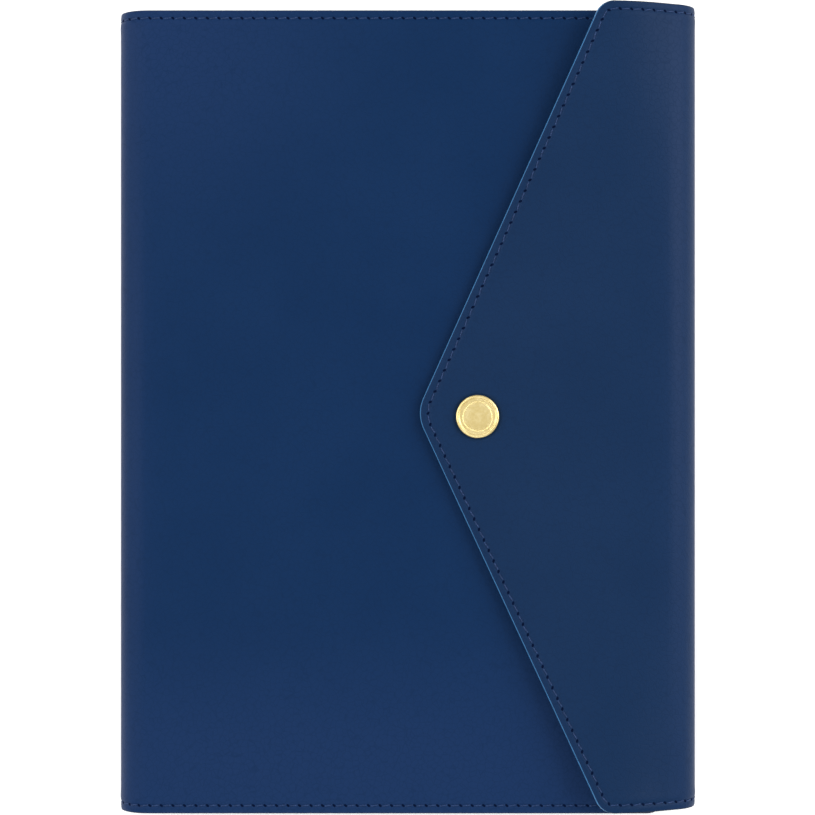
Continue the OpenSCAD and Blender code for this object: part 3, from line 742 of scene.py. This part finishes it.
def layer(name, sheet, edge, start, over, under, materials, rim_r, hole=None):
    """A slab of leather or cloth, with a face, a rim and an inner face of three materials.

    over and under give each face's height from the plain path, as a function of flat place and
    distance from the free edge.
    """
    flat, faces, starts = flat_layout(sheet, edge, start + rim_r, hole)
    base, normal, _, _ = sheet.frame(*flat.T)
    far = edge.distance(flat)
    verts = [base + normal * face(sheet, *flat.T, far)[:, None] for face in (over, under)]
    flats = [flat, flat]
    count = len(flat)
    total = 2 * count
    built, marks = [], []

    def add(face, mark):
        built.append(face[::-1] if sheet.flipped else face)
        marks.append(mark)

    def add_band(one, two):
        for k in range(len(one) - 1):
            add([one[k], two[k], two[k + 1], one[k + 1]], 1)

    for face in faces:
        add(face, 0)
    for face in faces:
        add([i + count for i in face[::-1]], 2)
    # The rim rolls over from the outer face and back under to the inner one
    roll = [(rim_r * (1 - math.sin(t)), rim_r * (1 - math.cos(t))) for t in RIM_TURNS]
    profile = [(inset, over, -drop) for inset, drop in roll]
    profile += [(inset, under, drop) for inset, drop in roll[::-1]]
    rim = set()
    for number, (first, length) in enumerate(starts):
        previous = list(range(first, first + length))
        rim |= set(zip(previous, previous[1:])) | set(zip(previous[1:], previous))
        for inset, face, drop in profile:
            ring = edge.at(start + inset)[number]
            base, normal, _, _ = sheet.frame(*ring.T)
            height = face(sheet, *ring.T, np.full(length, start + rim_r))
            verts.append(base + normal * (height + drop)[:, None])
            flats.append(ring)
            current = list(range(total, total + length))
            total += length
            add_band(previous, current)
            previous = current
        add_band(previous, list(range(first + count, first + count + length)))
    # What isn't a rim and has a face on one side only is closed by a wall
    pairs = [(a, b) for face in faces for a, b in zip(face, face[1:] + face[:1])]
    known = set(pairs)
    for a, b in pairs:
        if (b, a) not in known and (a, b) not in rim:
            add([b, a, a + count, b + count], 2)
    obj = mesh_object(name, np.concatenate(verts), built, materials, marks)
    # The cut ends at a seam stay out of the shading, so that two sheets meet without a line
    obj.data.set_sharp_from_angle(angle=SHARP_SEAM)
    add_flat_map(obj, sheet, np.concatenate(flats))
    print(name, total, "points,", len(built), "faces")
    return obj


def add_flat_map(obj, sheet, flats):
    """Stores the flat place in metres as a UV map, and how far each point's colour is painted paler,
    for wear and as a painted highlight.
    """
    mesh = obj.data
    # The four sheets lie apart on the map, so that the grain doesn't repeat at a seam
    u = (0 if sheet.top else 0.5) + flats[:, 0] * sheet.up * MM + (0.25 if sheet.side > 0 else 0)
    uv = np.stack([u, flats[:, 1] * MM], 1)
    corners = np.empty(len(mesh.loops), dtype=np.int32)
    mesh.loops.foreach_get("vertex_index", corners)
    mesh.uv_layers.new(name="flat").data.foreach_set("uv", uv[corners].astype(np.float32).ravel())
    wear_and_sheen = sheet.wear_and_sheen(flats[:, 0], flats[:, 1])
    mesh.attributes.new("wear_and_sheen", "FLOAT", "POINT").data.foreach_set("value", wear_and_sheen.astype(np.float32))

# %% [markdown]
# ## Working the leather
# A sewn edge isn't flat. The thread pulls a shallow groove, the edge beyond it is pressed down, and
# the leather between the groove and the board swells a little. These three make the soft double
# line along every edge. The lining lies over the boards in the panels, over the thin stays in the
# folds, and on the leather itself in the margin.

# %% Heights of the faces
STITCH_INSET = 2.6
PITCH = 3.7
GROOVE_DEPTH, GROOVE_WIDTH = 0.20, 0.55
EDGE_DIP, PILLOW = 0.14, 0.10
TURNED_EDGE = 0.55
BOARD, STAY = 1.4, 0.6
BOARD_HALF, BOARD_MARGIN = 125.5, 0.8
GLUE = 0.05


def worked(sheet, s, y, d):
    """The outer face: groove, dipped edge and the low swelling inside the groove."""
    groove = -GROOVE_DEPTH * ridge(d, STITCH_INSET, GROOVE_WIDTH)
    edge = -EDGE_DIP * (1 - smooth(d / 1.5))
    pillow = PILLOW * ridge(d, 4.4, 1.5)
    return groove + edge + pillow


def board_depth(sheet, s, y):
    """How far inside its board's edge a point of a panel lies."""
    x, _ = sheet.path(s)
    across = np.minimum(x + PANEL_X - 1, COVER_EDGE - BOARD_MARGIN - x)
    return np.minimum(BOARD_HALF - np.abs(sheet.skewed(x, y)), across)


def leather_under(sheet, s, y, d):
    """The leather's inner face. At a cut edge it reaches round the lining's edge."""
    return -LEATHER - TURNED_EDGE * (1 - smooth((d - 0.45) / 0.3))


def lining_under(sheet, s, y, d):
    """The lining's inner face: over the board, over the stay in the folds, or on the leather."""
    leather_and_lining = LEATHER + LINING
    if sheet is flap_sheet:
        return -(leather_and_lining + GLUE) - (STAY - GLUE) * smooth((d - 3) / 2)
    stay = STAY * smooth((HALF - np.abs(y) - 3) / 2)
    board = BOARD * smooth((board_depth(sheet, s, y) + 0.9) / 0.9)
    return -leather_and_lining - np.maximum(stay, board)


def lining_over(sheet, s, y, d):
    return lining_under(sheet, s, y, d) + LINING


print("lining over a board is", round(LEATHER + BOARD + LINING, 1), "mm below the leather's face")

# %% [markdown]
# ## Leather and lining of the four sheets
# Each sheet has a leather skin and a lining cloth. The table gives each sheet's name, shape, edge,
# finishes and rim radius, then its two bodies, the imported nodes that its skin and its cloth
# stand for, and its slot.

# %% Leather and lining
COVER_FINISH = (COVER_LEATHER, COVER_PAINT, COVER_LEATHER)
FLAP_FINISH = (FLAP_LEATHER, FLAP_PAINT, FLAP_LEATHER)
LAYERS = [
    ("cover", cover_sheet, cover_edge, COVER_FINISH, 0.3,
     ("spine", "cover"), ("front_leather", "spine_leather"),
     ("front_lining", "spine_lining", "spine_stay"), "outer_leather_cover"),
    ("flap", flap_sheet, flap_edge, FLAP_FINISH, 0.26,
     ("gusset", "flap"), ("flap_leather", "gusset_leather"),
     ("flap_lining", "gusset_lining", "flap_stay", "gusset_stay"), "outer_leather_flap"),
    ("back_left", back_left_sheet, back_left_edge, COVER_FINISH, 0.3,
     ("base", "spine"), ("back_leather", "spine_leather"),
     ("back_lining", "spine_lining", "spine_stay"), "outer_leather_cover"),
    ("back_right", back_right_sheet, back_right_edge, COVER_FINISH, 0.3,
     ("base", "gusset"), ("back_leather", "gusset_leather"),
     ("back_lining", "gusset_lining", "gusset_stay"), "outer_leather_cover"),
]
CLOTH_INSET, CLOTH_RIM, SOCKET_HOLE_R = 0.5, 0.18, 5.15


def bend(piece, sheet):
    """Bakes a piece's placement into its mesh, the same for an upper and a lower sheet; it is hung on
    no body and doesn't bend.
    """
    if sheet.top:
        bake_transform(piece)
    else:
        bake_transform(piece)


for name, sheet, edge, finishes, rim_r, bodies, skins, linings, slot in LAYERS:
    skin = layer(f"{name}_skin", sheet, edge, 0.0, worked, leather_under, finishes, rim_r)
    hole = (snap_flat, SOCKET_HOLE_R) if sheet is flap_sheet else None
    cloth = layer(f"{name}_cloth", sheet, edge, CLOTH_INSET, lining_over, lining_under,
                  (LINING_CLOTH,) * 3, CLOTH_RIM, hole)
    for piece, nodes, kind in ((skin, skins, slot), (cloth, linings, "lining")):
        bend(piece, sheet)
        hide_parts(*nodes)

# %% [markdown]
# ## Stitching
# One small node tree lays copies of a shape on guide points. Each guide point carries the
# directions along the seam and out of the leather. The thread and the needle holes both use the
# same tree, and a small random turn, from a fixed seed, keeps the stitches from looking printed.

# %% A node tree that repeats a shape
def repeat_tree():
    """The tree, and the identifiers of its named inputs."""
    tree = bpy.data.node_groups.new("repeat_on_guides", "GeometryNodeTree")
    sockets = {}
    for label, kind in (("Guides", "Geometry"), ("Shape", "Object"), ("Slant", "Float"),
                        ("Wobble", "Float"), ("Seed", "Int"), ("Finish", "Material")):
        made = tree.interface.new_socket(label, in_out="INPUT", socket_type=f"NodeSocket{kind}")
        sockets[label] = made.identifier
    tree.interface.new_socket("Copies", in_out="OUTPUT", socket_type="NodeSocketGeometry")

    def add(kind, feeds, **settings):
        """Adds a node, applies its settings and feeds its inputs; gives its outputs."""
        node = tree.nodes.new(kind)
        for key, value in settings.items():
            setattr(node, key, value)
        for key, value in feeds.items():
            if isinstance(value, str):
                node.inputs[key].default_value = value
            else:
                tree.links.new(value, node.inputs[key])
        return node.outputs

    source = add("NodeGroupInput", {})
    up, along = (add("GeometryNodeInputNamedAttribute", {"Name": label},
                     data_type="FLOAT_VECTOR")["Attribute"] for label in ("up", "along"))
    axes = add("FunctionNodeAxesToRotation", {"Primary Axis": up, "Secondary Axis": along},
               primary_axis="Z", secondary_axis="X")
    low, high = (add("ShaderNodeMath", {0: source["Slant"], 1: source["Wobble"]},
                     operation=sign)[0] for sign in ("SUBTRACT", "ADD"))
    chance = add("FunctionNodeRandomValue", {2: low, 3: high, "Seed": source["Seed"]},
                 data_type="FLOAT")[1]
    turn = add("ShaderNodeCombineXYZ", {"Z": chance})[0]
    slant = add("FunctionNodeEulerToRotation", {0: turn})[0]
    turned = add("FunctionNodeRotateRotation", {0: axes[0], 1: slant}, rotation_space="LOCAL")[0]
    shape = add("GeometryNodeObjectInfo", {0: source["Shape"]})["Geometry"]
    copies = add("GeometryNodeInstanceOnPoints",
                 {"Points": source["Guides"], "Instance": shape, "Rotation": turned})[0]
    real = add("GeometryNodeRealizeInstances", {0: copies})[0]
    paint = add("GeometryNodeSetMaterial", {"Geometry": real, "Material": source["Finish"]})[0]
    add("NodeGroupOutput", {0: paint})
    return tree, sockets


REPEAT, REPEAT_INPUTS = repeat_tree()
print("inputs of the tree:", ", ".join(REPEAT_INPUTS))

# %% Laying copies
def repeat(name, shape, guides, finish, slant=0.0, wobble=0.0, seed=3):
    """Bakes copies of a shape on guide points into one plain mesh object."""
    points, alongs, ups = guides
    holder = mesh_object(f"{name}_guides", points, [], [], smooth_faces=False)
    for label, values in (("along", alongs), ("up", ups)):
        attribute = holder.data.attributes.new(label, "FLOAT_VECTOR", "POINT")
        attribute.data.foreach_set("vector", values.astype(np.float32).ravel())
    modifier = holder.modifiers.new("repeat", "NODES")
    modifier.node_group = REPEAT
    for label, value in (("Shape", shape), ("Slant", slant), ("Wobble", wobble), ("Seed", seed),
                         ("Finish", finish)):
        modifier[REPEAT_INPUTS[label]] = value
    graph = bpy.context.evaluated_depsgraph_get()
    baked = bpy.data.meshes.new_from_object(holder.evaluated_get(graph), depsgraph=graph)
    baked.name = name
    bpy.data.objects.remove(holder)
    for label in ("along", "up"):
        if label in baked.attributes:
            baked.attributes.remove(baked.attributes[label])
    return new_object(name, baked)

# %% [markdown]
# ## Thread and needle holes
# The thread is plied, so its section is a three-pointed star that turns as it goes. It rises from
# one hole and dips into the next. The needle leaves a slanting oval hole. The shade inside it is
# painted as a dark oval laid just above the groove between two stitches. Both shapes have few
# faces, because there are so many of each.

# %% Thread and needle hole
STITCH_HALF, STITCH_RINGS, STITCH_SIDES = 1.36, 8, 6
STITCH_ARCH, STITCH_SUNK, STITCH_FLAT, STITCH_TAPER = 0.24, 0.14, 0.72, 0.25
PLY_OUT, PLY_IN, PLY_TWIST = 0.27, 0.20, 0.55
HOLE_SLANT, HOLE_LONG, HOLE_WIDE = math.radians(-40), 0.60, 0.38
HOLE_LIFT, HOLE_DEPTH, HOLE_SIDES = 0.045, 0.2, 8


def thread_shape():
    """One stitch: a plied thread that rises from one hole and dips into the next."""
    verts, faces = [], []
    sides = STITCH_SIDES
    for k in range(STITCH_RINGS):
        t = k / (STITCH_RINGS - 1) * 2 - 1
        x, z = t * STITCH_HALF, STITCH_ARCH * (1 - t ** 4) - STITCH_SUNK
        for j in range(sides):
            angle = 2 * math.pi * j / sides + PLY_TWIST * k
            r = (PLY_OUT if j % 2 == 0 else PLY_IN) * (1 - STITCH_TAPER * t ** 4)
            verts.append((x, r * math.cos(angle), z + STITCH_FLAT * r * math.sin(angle)))
    for k in range(STITCH_RINGS - 1):
        for j in range(sides):
            a, b = k * sides + j, k * sides + (j + 1) % sides
            faces.append([a, b, b + sides, a + sides])
    faces += [list(range(sides))[::-1], [len(verts) - sides + j for j in range(sides)]]
    return mesh_object("thread_shape", verts, faces, [])


def hole_shape():
    """A needle hole as painted shade: a small dark oval aslant to the seam, laid just above its
    groove, bent to it and closed below.
    """
    verts = [(0, 0, HOLE_LIFT)]
    for part in (0.6, 1.0):
        for a, b in circle((0, 0), part, HOLE_SIDES):
            a, b = a * HOLE_LONG, b * HOLE_WIDE
            x = a * math.cos(HOLE_SLANT) - b * math.sin(HOLE_SLANT)
            y = a * math.sin(HOLE_SLANT) + b * math.cos(HOLE_SLANT)
            rise = GROOVE_DEPTH * (1 - ridge(y, 0, GROOVE_WIDTH))
            verts.append((x, y, HOLE_LIFT + rise))
    verts.append((0, 0, -HOLE_DEPTH))
    inner, outer, bottom = 1, 1 + HOLE_SIDES, 1 + 2 * HOLE_SIDES
    faces = []
    for j in range(HOLE_SIDES):
        nxt = (j + 1) % HOLE_SIDES
        faces += [[0, inner + j, inner + nxt],
                  [inner + j, outer + j, outer + nxt, inner + nxt],
                  [outer + nxt, outer + j, bottom]]
    return mesh_object("hole_shape", verts, faces, [])


def thread_finish():
    """Dyed thread: dark in the folds of its plies, lighter where the fibres catch the light."""
    made = Finish("navy_thread")
    fibres = made.noise(made.place(), 3.2)
    body = made.mix(fibres.over(0.42, 0.72), (0.008, 0.026, 0.085), (0.034, 0.074, 0.205))
    made.set(Base_Color=body, Roughness=0.55 + 0.1 * fibres, Specular_IOR_Level=0.25,
             Normal=made.bump(fibres, 0.00006, 0.6))
    return made.material


def plain(name, colour, rough, mottle=0.12, bump=0.00003):
    """A solid finish with slight unevenness in tone and gloss."""
    made = Finish(name)
    where = made.place()
    uneven = made.noise(where, 0.9, 3.0)
    broad = made.noise(where, 0.06)
    light = tuple(min(1, c * (1 + mottle)) for c in colour)
    body = made.mix(broad.over(0.3, 0.7), scaled(colour, 1 - mottle), light)
    made.set(Base_Color=body, Roughness=rough - 0.05 + 0.1 * uneven,
             Normal=made.bump(uneven, bump, 0.5))
    return made.material


THREAD = thread_finish()
# Painted shade: this dark colour on the needle-hole ovals stands in for the shade inside each hole
NEEDLE_HOLE_SHADE = plain("needle_hole_shade", (0.0006, 0.0045, 0.024), 0.9)
NEEDLE_HOLE_SHADE.node_tree.nodes["Principled BSDF"].inputs["Specular IOR Level"].default_value = 0.05
thread, needle = thread_shape(), hole_shape()
print("a stitch has", len(thread.data.polygons), "faces, a hole", len(needle.data.polygons))

# %% Guides along the seams
LEAST_END, AHEAD = 0.2, 0.3
STITCH_SLANT, STITCH_WOBBLE = 0.13, 0.05


def walk(path, pitch, between=False):
    """Evenly spaced places and directions along a flat path, centred on it, or those between."""
    legs = np.hypot(*np.diff(path, axis=0).T)
    far = np.concatenate([[0], np.cumsum(legs)])
    count = int((far[-1] - LEAST_END) // pitch)
    margin = (far[-1] - (count - 1) * pitch) / 2
    at = margin + pitch * (np.arange(count - 1) + 0.5 if between else np.arange(count))
    s, y = np.interp(at, far, path[:, 0]), np.interp(at, far, path[:, 1])
    ahead = [np.interp(at + AHEAD, far, path[:, axis]) - v for axis, v in enumerate((s, y))]
    return s, y, np.stack(ahead, 1)


def guides(sheet, edge, height, outer, between=False):
    """Guide points on the outer or the inner face of a sheet, at the stitches or between them."""
    rows = []
    for path in edge.at(STITCH_INSET):
        s, y, ahead = walk(path, PITCH, between)
        base, normal, ds, dy = sheet.frame(s, y)
        base = base + normal * height(sheet, s, y, np.full(len(s), STITCH_INSET))[:, None]
        along = ds * ahead[:, :1] + dy * ahead[:, 1:]
        along /= np.linalg.norm(along, axis=1, keepdims=True)
        rows.append((base, along, normal if outer else -normal))
    return [np.concatenate(v) for v in zip(*rows)]

# %% Sewing the four sheets
for name, sheet, edge, _, _, bodies, _, _, slot in LAYERS:
    for face, height, outer in (("outer", worked, True), ("inner", lining_under, False)):
        row = guides(sheet, edge, height, outer)
        sewn = repeat(f"{name}_{face}_stitches", thread, row, THREAD, STITCH_SLANT, STITCH_WOBBLE)
        between = guides(sheet, edge, height, outer, between=True)
        holes = repeat(f"{name}_{face}_holes", needle, between, NEEDLE_HOLE_SHADE)
        for piece in (sewn, holes):
            bend(piece, sheet)
        print(name, face, "has", len(row[0]), "stitches")
for shape in (thread, needle):
    bpy.data.objects.remove(shape)

# %% [markdown]
# ## Finishes of the other parts
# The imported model's own solids keep their shapes. Each gets the finish of its material slot:
# moulded plastic, steel, gold plating, rubber, film, silicone, a green circuit board and so on.
# What they have in common is a little unevenness of tone and gloss, as the real process leaves.

# %% Metals and plastics
def brushed(name, colour, rough, stretch=(1.0, 0.03, 1.0)):
    """Metal with fine lines, along Y unless it is stretched another way."""
    made = Finish(name)
    where = made.node("ShaderNodeVectorMath", {"operation": "MULTIPLY"},
                      {0: made.place(), 1: stretch})["Vector"]
    lines = made.noise(where, 3.0, 3.0, 0.6)
    tone = made.mix(lines.over(0.3, 0.7), scaled(colour, 0.86), colour)
    made.set(Base_Color=tone, Metallic=1.0, Roughness=rough + 0.12 * lines,
             Normal=made.bump(lines, 0.00001, 0.5))
    return made.material


def moulded(name, colour, rough, pits=3.0):
    """Spark-eroded plastic: a fine even texture that scatters light."""
    made = Finish(name)
    where = made.place()
    texture = made.cells(where, pits, "SMOOTH_F1")
    uneven = made.noise(where, 0.08, 3.0)
    tone = made.mix(uneven.over(0.3, 0.75), scaled(colour, 0.85), colour)
    made.set(Base_Color=tone, Roughness=rough + 0.1 * texture + 0.06 * uneven,
             Normal=made.bump(texture, 0.00003, 0.5))
    return made.material


def plated_gold():
    """Pale plating with a faint haze of wear and tarnish."""
    made = Finish("pale_gold_plate")
    haze = made.noise(made.place(), 0.5, 3.0, 0.6)
    tone = made.mix(haze.over(0.35, 0.75), (0.82, 0.65, 0.28), (0.91, 0.76, 0.39))
    made.set(Base_Color=tone, Metallic=1.0, Roughness=0.33 + 0.08 * haze,
             Normal=made.bump(haze, 0.00001, 0.3))
    return made.material


print("brushed, moulded and plated finishes are ready")

# %% Circuit board and lens
def circuit_green():
    """Solder mask over copper tracks and a ground plane."""
    made = Finish("green_solder_mask")
    where = made.place()
    tracks = made.node("ShaderNodeTexBrick", {}, {
        "Vector": where, "Scale": 0.35, "Mortar Size": 0.03, "Color1": (1, 1, 1),
        "Color2": (1, 1, 1), "Mortar": (0, 0, 0)})["Fac"]
    mask = made.noise(where, 0.3, 3.0)
    tone = made.mix(mask.over(0.3, 0.7), (0.012, 0.10, 0.035), (0.02, 0.17, 0.06))
    tone = made.mix(tracks * 0.5, tone, (0.06, 0.3, 0.10))
    made.set(Base_Color=tone, Roughness=0.35 + 0.1 * mask, Normal=made.bump(tracks, 0.00003, 0.5))
    return made.material


def lens_clear():
    """Frosted plastic over the small light."""
    made = Finish("frosted_lens")
    cloudy = made.noise(made.place(), 1.2)
    tone = made.mix(cloudy, (0.7, 0.78, 0.85), (0.85, 0.9, 0.94))
    made.set(Base_Color=tone, Roughness=0.25 + 0.15 * cloudy, Transmission_Weight=0.4)
    return made.material

# %% Finishes by slot
SLOTS = {
    "outer_leather_cover": COVER_LEATHER,
    "outer_leather_flap": FLAP_LEATHER,
    "lining": LINING_CLOTH,
    "board": plain("grey_fibre_board", (0.22, 0.17, 0.115), 0.85, mottle=0.25, bump=0.00008),
    "case_plastic": moulded("deck_plastic", (0.020, 0.024, 0.036), 0.5),
    "key_plastic": moulded("key_plastic", (0.012, 0.014, 0.019), 0.45, 4.0),
    "steel": brushed("plain_steel", (0.55, 0.56, 0.58), 0.3),
    "gold": plated_gold(),
    "rubber": plain("matt_rubber", (0.012, 0.013, 0.015), 0.75, mottle=0.2, bump=0.00005),
    "film": plain("printed_film", (0.6, 0.62, 0.55), 0.3),
    "silicone": plain("milky_silicone", (0.75, 0.74, 0.7), 0.4),
    "board_green": circuit_green(),
    "battery_foil": brushed("battery_foil", (0.6, 0.61, 0.63), 0.25, (0.2, 1.0, 1.0)),
    "lens": lens_clear(),
    "foam": plain("adhesive_foam", (0.66, 0.64, 0.58), 0.9, mottle=0.2, bump=0.00008),
}
node_slots = {part["node"]: part["material_slot"] for part in frame["record"]["subparts"]}
for node, slot in node_slots.items():
    finishes = frame["nodes"][node].data.materials
    finishes.clear()
    finishes.append(SLOTS[slot])
print(len(node_slots), "nodes have a finish")

# %% [markdown]
# ## The snap's cap
# The cap is turned on a lathe, so it is a profile spun about the snap's axis: a bead round the rim,
# then a flat face with one fine ring cut into it. Its edge rolls under, down to the leather.

# %% Turned cap
CAP_FLARE = 0.2
CAP_SKIRT = 0.50
CAP_STEPS = 96
# Each pair is the distance in from the rim and the depth below its crest
BEAD = [(0, 0.55), (0.07, 0.30), (0.24, 0.10), (0.48, 0.01), (0.78, 0.0), (0.98, 0.05),
        (1.08, 0.16), (1.16, 0.28), (1.28, 0.32), (1.38, 0.325)]
RING = [(2.02, 0.32), (2.12, 0.325), (2.20, 0.37), (2.34, 0.37), (2.42, 0.32), (2.52, 0.315)]
FACE = [(4.10, 0.305), (5.70, 0.295)]
MIDDLE_DEPTH = 0.29


def spun(name, profile, centre, finish):
    """A closed solid of revolution about Z from (radius, height) pairs that start and end on the
    axis."""
    steps = CAP_STEPS
    rings = profile[1:-1]
    verts = [(*centre, profile[0][1])]
    for r, z in rings:
        verts += [(x, y, z) for x, y in circle(centre, r, steps)]
    verts.append((*centre, profile[-1][1]))
    top = 1 + (len(rings) - 1) * steps
    faces = []
    for j in range(steps):
        nxt = (j + 1) % steps
        faces.append([0, 1 + nxt, 1 + j])
        for a in range(1, top, steps):
            faces.append([a + j, a + nxt, a + steps + nxt, a + steps + j])
        faces.append([top + j, top + nxt, len(verts) - 1])
    return mesh_object(name, verts, faces, [finish])


cap_r = (cap_high[0] - cap_low[0]) / 2 + CAP_FLARE
under, rim_top = FLAP_Z - CAP_SKIRT, cap_high[2]
profile = [(0, under), (cap_r - 0.25, under), (cap_r - 0.05, under + 0.12), (cap_r, under + 0.35)]
profile += [(cap_r - inward, rim_top - depth) for inward, depth in BEAD + RING + FACE]
profile += [(0, rim_top - MIDDLE_DEPTH)]
cap = spun("snap_cap_turned", profile, SNAP, SLOTS["gold"])
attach(cap, "flap")
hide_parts("snap_cap")
print("cap", round(2 * cap_r, 1), "mm across")

# %% [markdown]
# ## Keyboard
# Each key cap is rounded in plan, tapers a little and has a shallow dish. The caps are built on the
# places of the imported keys, one piece for each key body, and carry plain printed letters that face
# the palm rest.

# %% Key places
def islands(obj):
    """The loose parts of a mesh, as arrays of points in millimetres, in order along the spine."""
    work = bmesh.new()
    work.from_mesh(obj.data)
    bmesh.ops.remove_doubles(work, verts=work.verts, dist=1e-6)
    left, found = set(work.verts), []
    while left:
        stack, part = [left.pop()], []
        while stack:
            vert = stack.pop()
            part.append(tuple(c / MM for c in vert.co))
            near = {edge.other_vert(vert) for edge in vert.link_edges} & left
            left -= near
            stack += near
        found.append(np.array(part))
    work.free()
    return sorted(found, key=lambda part: round(part[:, 1].mean(), 2))


def rounded(hx, hy, r, z, centre):
    """Points of a rounded rectangle at a height, five at each corner."""
    r = min(r, hx * 0.9, hy * 0.9)
    ring = []
    for quarter, (sx, sy) in enumerate(((1, 1), (-1, 1), (-1, -1), (1, -1))):
        for k in range(5):
            t = math.radians(90 * quarter + 22.5 * k)
            ring.append((centre[0] + sx * (hx - r) + r * math.cos(t),
                         centre[1] + sy * (hy - r) + r * math.sin(t), z))
    return ring


DECK_Z = box_mm("keyboard_top_frame")[1][2]
KEY_Z = box_mm("space_bar")[1][2]
DISH = 0.14
KEY_CORNER = 1.7
LIP_REACH = 0.9
# Distance in from the cap's outline and height above the deck, then below the key's top
SKIRT = [(-LIP_REACH, -1.25), (0, -1.2), (0, 0.1)]
SHOULDER = [(0.06, 0.3), (0.16, 0.12), (0.34, 0.03), (0.55, 0), (1.1, 0.03), (2.2, 0.09),
            (3.6, DISH)]


def key_shape(part):
    """Points and faces of one key: lip, tapered walls, rounded shoulder and dished top."""
    cap_points = part[part[:, 2] > DECK_Z - 0.5]
    low, high = cap_points.min(0), cap_points.max(0)
    centre = ((low[0] + high[0]) / 2, (low[1] + high[1]) / 2)
    hx, hy = (high[0] - low[0]) / 2, (high[1] - low[1]) / 2
    levels = [(-LIP_REACH, part[:, 2].min())]
    levels += [(inward, DECK_Z + up) for inward, up in SKIRT]
    levels += [(inward, KEY_Z - down) for inward, down in SHOULDER]
    rings = [rounded(hx - d, hy - d, KEY_CORNER - 0.4 * max(d, 0), z, centre) for d, z in levels]
    verts = [p for ring in rings for p in ring]
    count = len(rings[0])
    faces = [list(range(count))[::-1]]
    for k in range(len(rings) - 1):
        for j in range(count):
            a, b = k * count + j, k * count + (j + 1) % count
            faces.append([a, b, b + count, a + count])
    faces.append([(len(rings) - 1) * count + j for j in range(count)])
    return verts, faces, centre


print("keys stand", round(KEY_Z - DECK_Z, 2), "mm above the deck")

# %% [markdown]
# ## Letters
# The letters are printed, so they are flat: text made into a mesh and laid just above the bottom of
# the key's dish. The typist sits at +X, so a letter's right is +Y and its top is -X.

# %% Letters
WORD_SIZE, LETTER_SIZE = 2.9, 4.6
PRINT_LIFT = 0.05


def glyph(text, size):
    """Flat triangles of a printed word, centred on its own middle, in millimetres."""
    curve = bpy.data.curves.new("glyph", "FONT")
    curve.body, curve.size = text, size
    curve.align_x, curve.align_y = "CENTER", "CENTER"
    curve.resolution_u = 2
    holder = new_object("glyph", curve)
    graph = bpy.context.evaluated_depsgraph_get()
    mesh = bpy.data.meshes.new_from_object(holder.evaluated_get(graph), depsgraph=graph)
    verts = [(v.co.x, v.co.y) for v in mesh.vertices]
    faces = [list(p.vertices) for p in mesh.polygons]
    bpy.data.objects.remove(holder)
    bpy.data.curves.remove(curve)
    bpy.data.meshes.remove(mesh)
    return verts, faces


LETTERS = {
    "function_row_keys": ["esc"] + [f"F{n}" for n in range(1, 13)],
    "number_row_keys": list("`1234567890-="), "backspace_key": ["delete"],
    "tab_key": ["tab"], "upper_row_keys": list("QWERTYUIOP[]\\"),
    "caps_lock_key": ["caps"], "home_row_keys": list("ASDFGHJKL;'"), "enter_key": ["enter"],
    "left_shift_key": ["shift"], "lower_row_keys": list("ZXCVBNM,./"), "right_shift_key": ["shift"],
    "left_modifier_keys": ["fn", "ctrl", "alt", "cmd"], "space_bar": [""],
    "right_modifier_keys": ["cmd", "alt"], "left_arrow_key": ["\u2190"], "up_arrow_key": ["\u2191"],
    "down_arrow_key": ["\u2193"], "right_arrow_key": ["\u2192"],
}
PRINT = plain("key_print", (0.62, 0.64, 0.66), 0.6, mottle=0.04)
print(sum(len(words) for words in LETTERS.values()), "key tops to print")

# %% Key caps
key_total = 0
for node, words in LETTERS.items():
    verts, faces, marks = [], [], []
    parts = islands(frame["nodes"][node])
    assert len(parts) == len(words), (node, len(parts))
    for part, word in zip(parts, words):
        shape, made, (cx, cy) = key_shape(part)
        printed = []
        if word:
            outline, printed = glyph(word, LETTER_SIZE if len(word) == 1 else WORD_SIZE)
            height = KEY_Z - DISH + PRINT_LIFT
            shape = shape + [(cx - y, cy + x, height) for x, y in outline]
            start = len(shape) - len(outline)
            printed = [[i + start for i in face] for face in printed]
        faces += [[i + len(verts) for i in face] for face in made + printed]
        marks += [0] * len(made) + [1] * len(printed)
        verts += shape
    caps = mesh_object(f"{node}_caps", verts, faces, [SLOTS["key_plastic"], PRINT], marks)
    caps.data.set_sharp_from_angle(angle=math.radians(50))
    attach(caps, node)
    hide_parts(node)
    key_total += len(parts)
print(key_total, "keys")

# %% [markdown]
# ## Softened corners
# Moulded and pressed parts have no knife edges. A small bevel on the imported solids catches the
# light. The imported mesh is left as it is: a weld and a bevel stand on it as modifiers, and weighted
# normals keep its large faces flat.

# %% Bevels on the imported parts
WELD, SHARP = 1e-6, math.radians(40)
BEVELS = {
    "keyboard_top_frame": 0.22, "keyboard_bottom_case": 0.5, "slot_liner": 0.25,
    "deck_bumpers": 0.25, "tablet_rim": 0.45, "tablet_bezel": 0.4, "power_switch": 0.2,
    "pair_button": 0.25, "charge_socket": 0.1, "battery_pack": 0.5, "circuit_board": 0.1,
    "control_board": 0.1, "case_screws": 0.12, "keyboard_fixing_pads": 0.1, "snap_stud": 0.08,
    "snap_socket": 0.08, "indicator_lens": 0.15, "slot_magnets": 0.25,
}
for node, width in BEVELS.items():
    obj = frame["nodes"][node]
    obj.modifiers.new("weld", "WELD").merge_threshold = WELD
    bevel = obj.modifiers.new("soft_edges", "BEVEL")
    bevel.width, bevel.segments = width * MM, 2
    bevel.limit_method, bevel.angle_limit = "ANGLE", SHARP
    bevel.use_clamp_overlap = True
    obj.data.shade_smooth()
    obj.modifiers.new("even_normals", "WEIGHTED_NORMAL").keep_sharp = True
print(len(BEVELS), "parts softened")
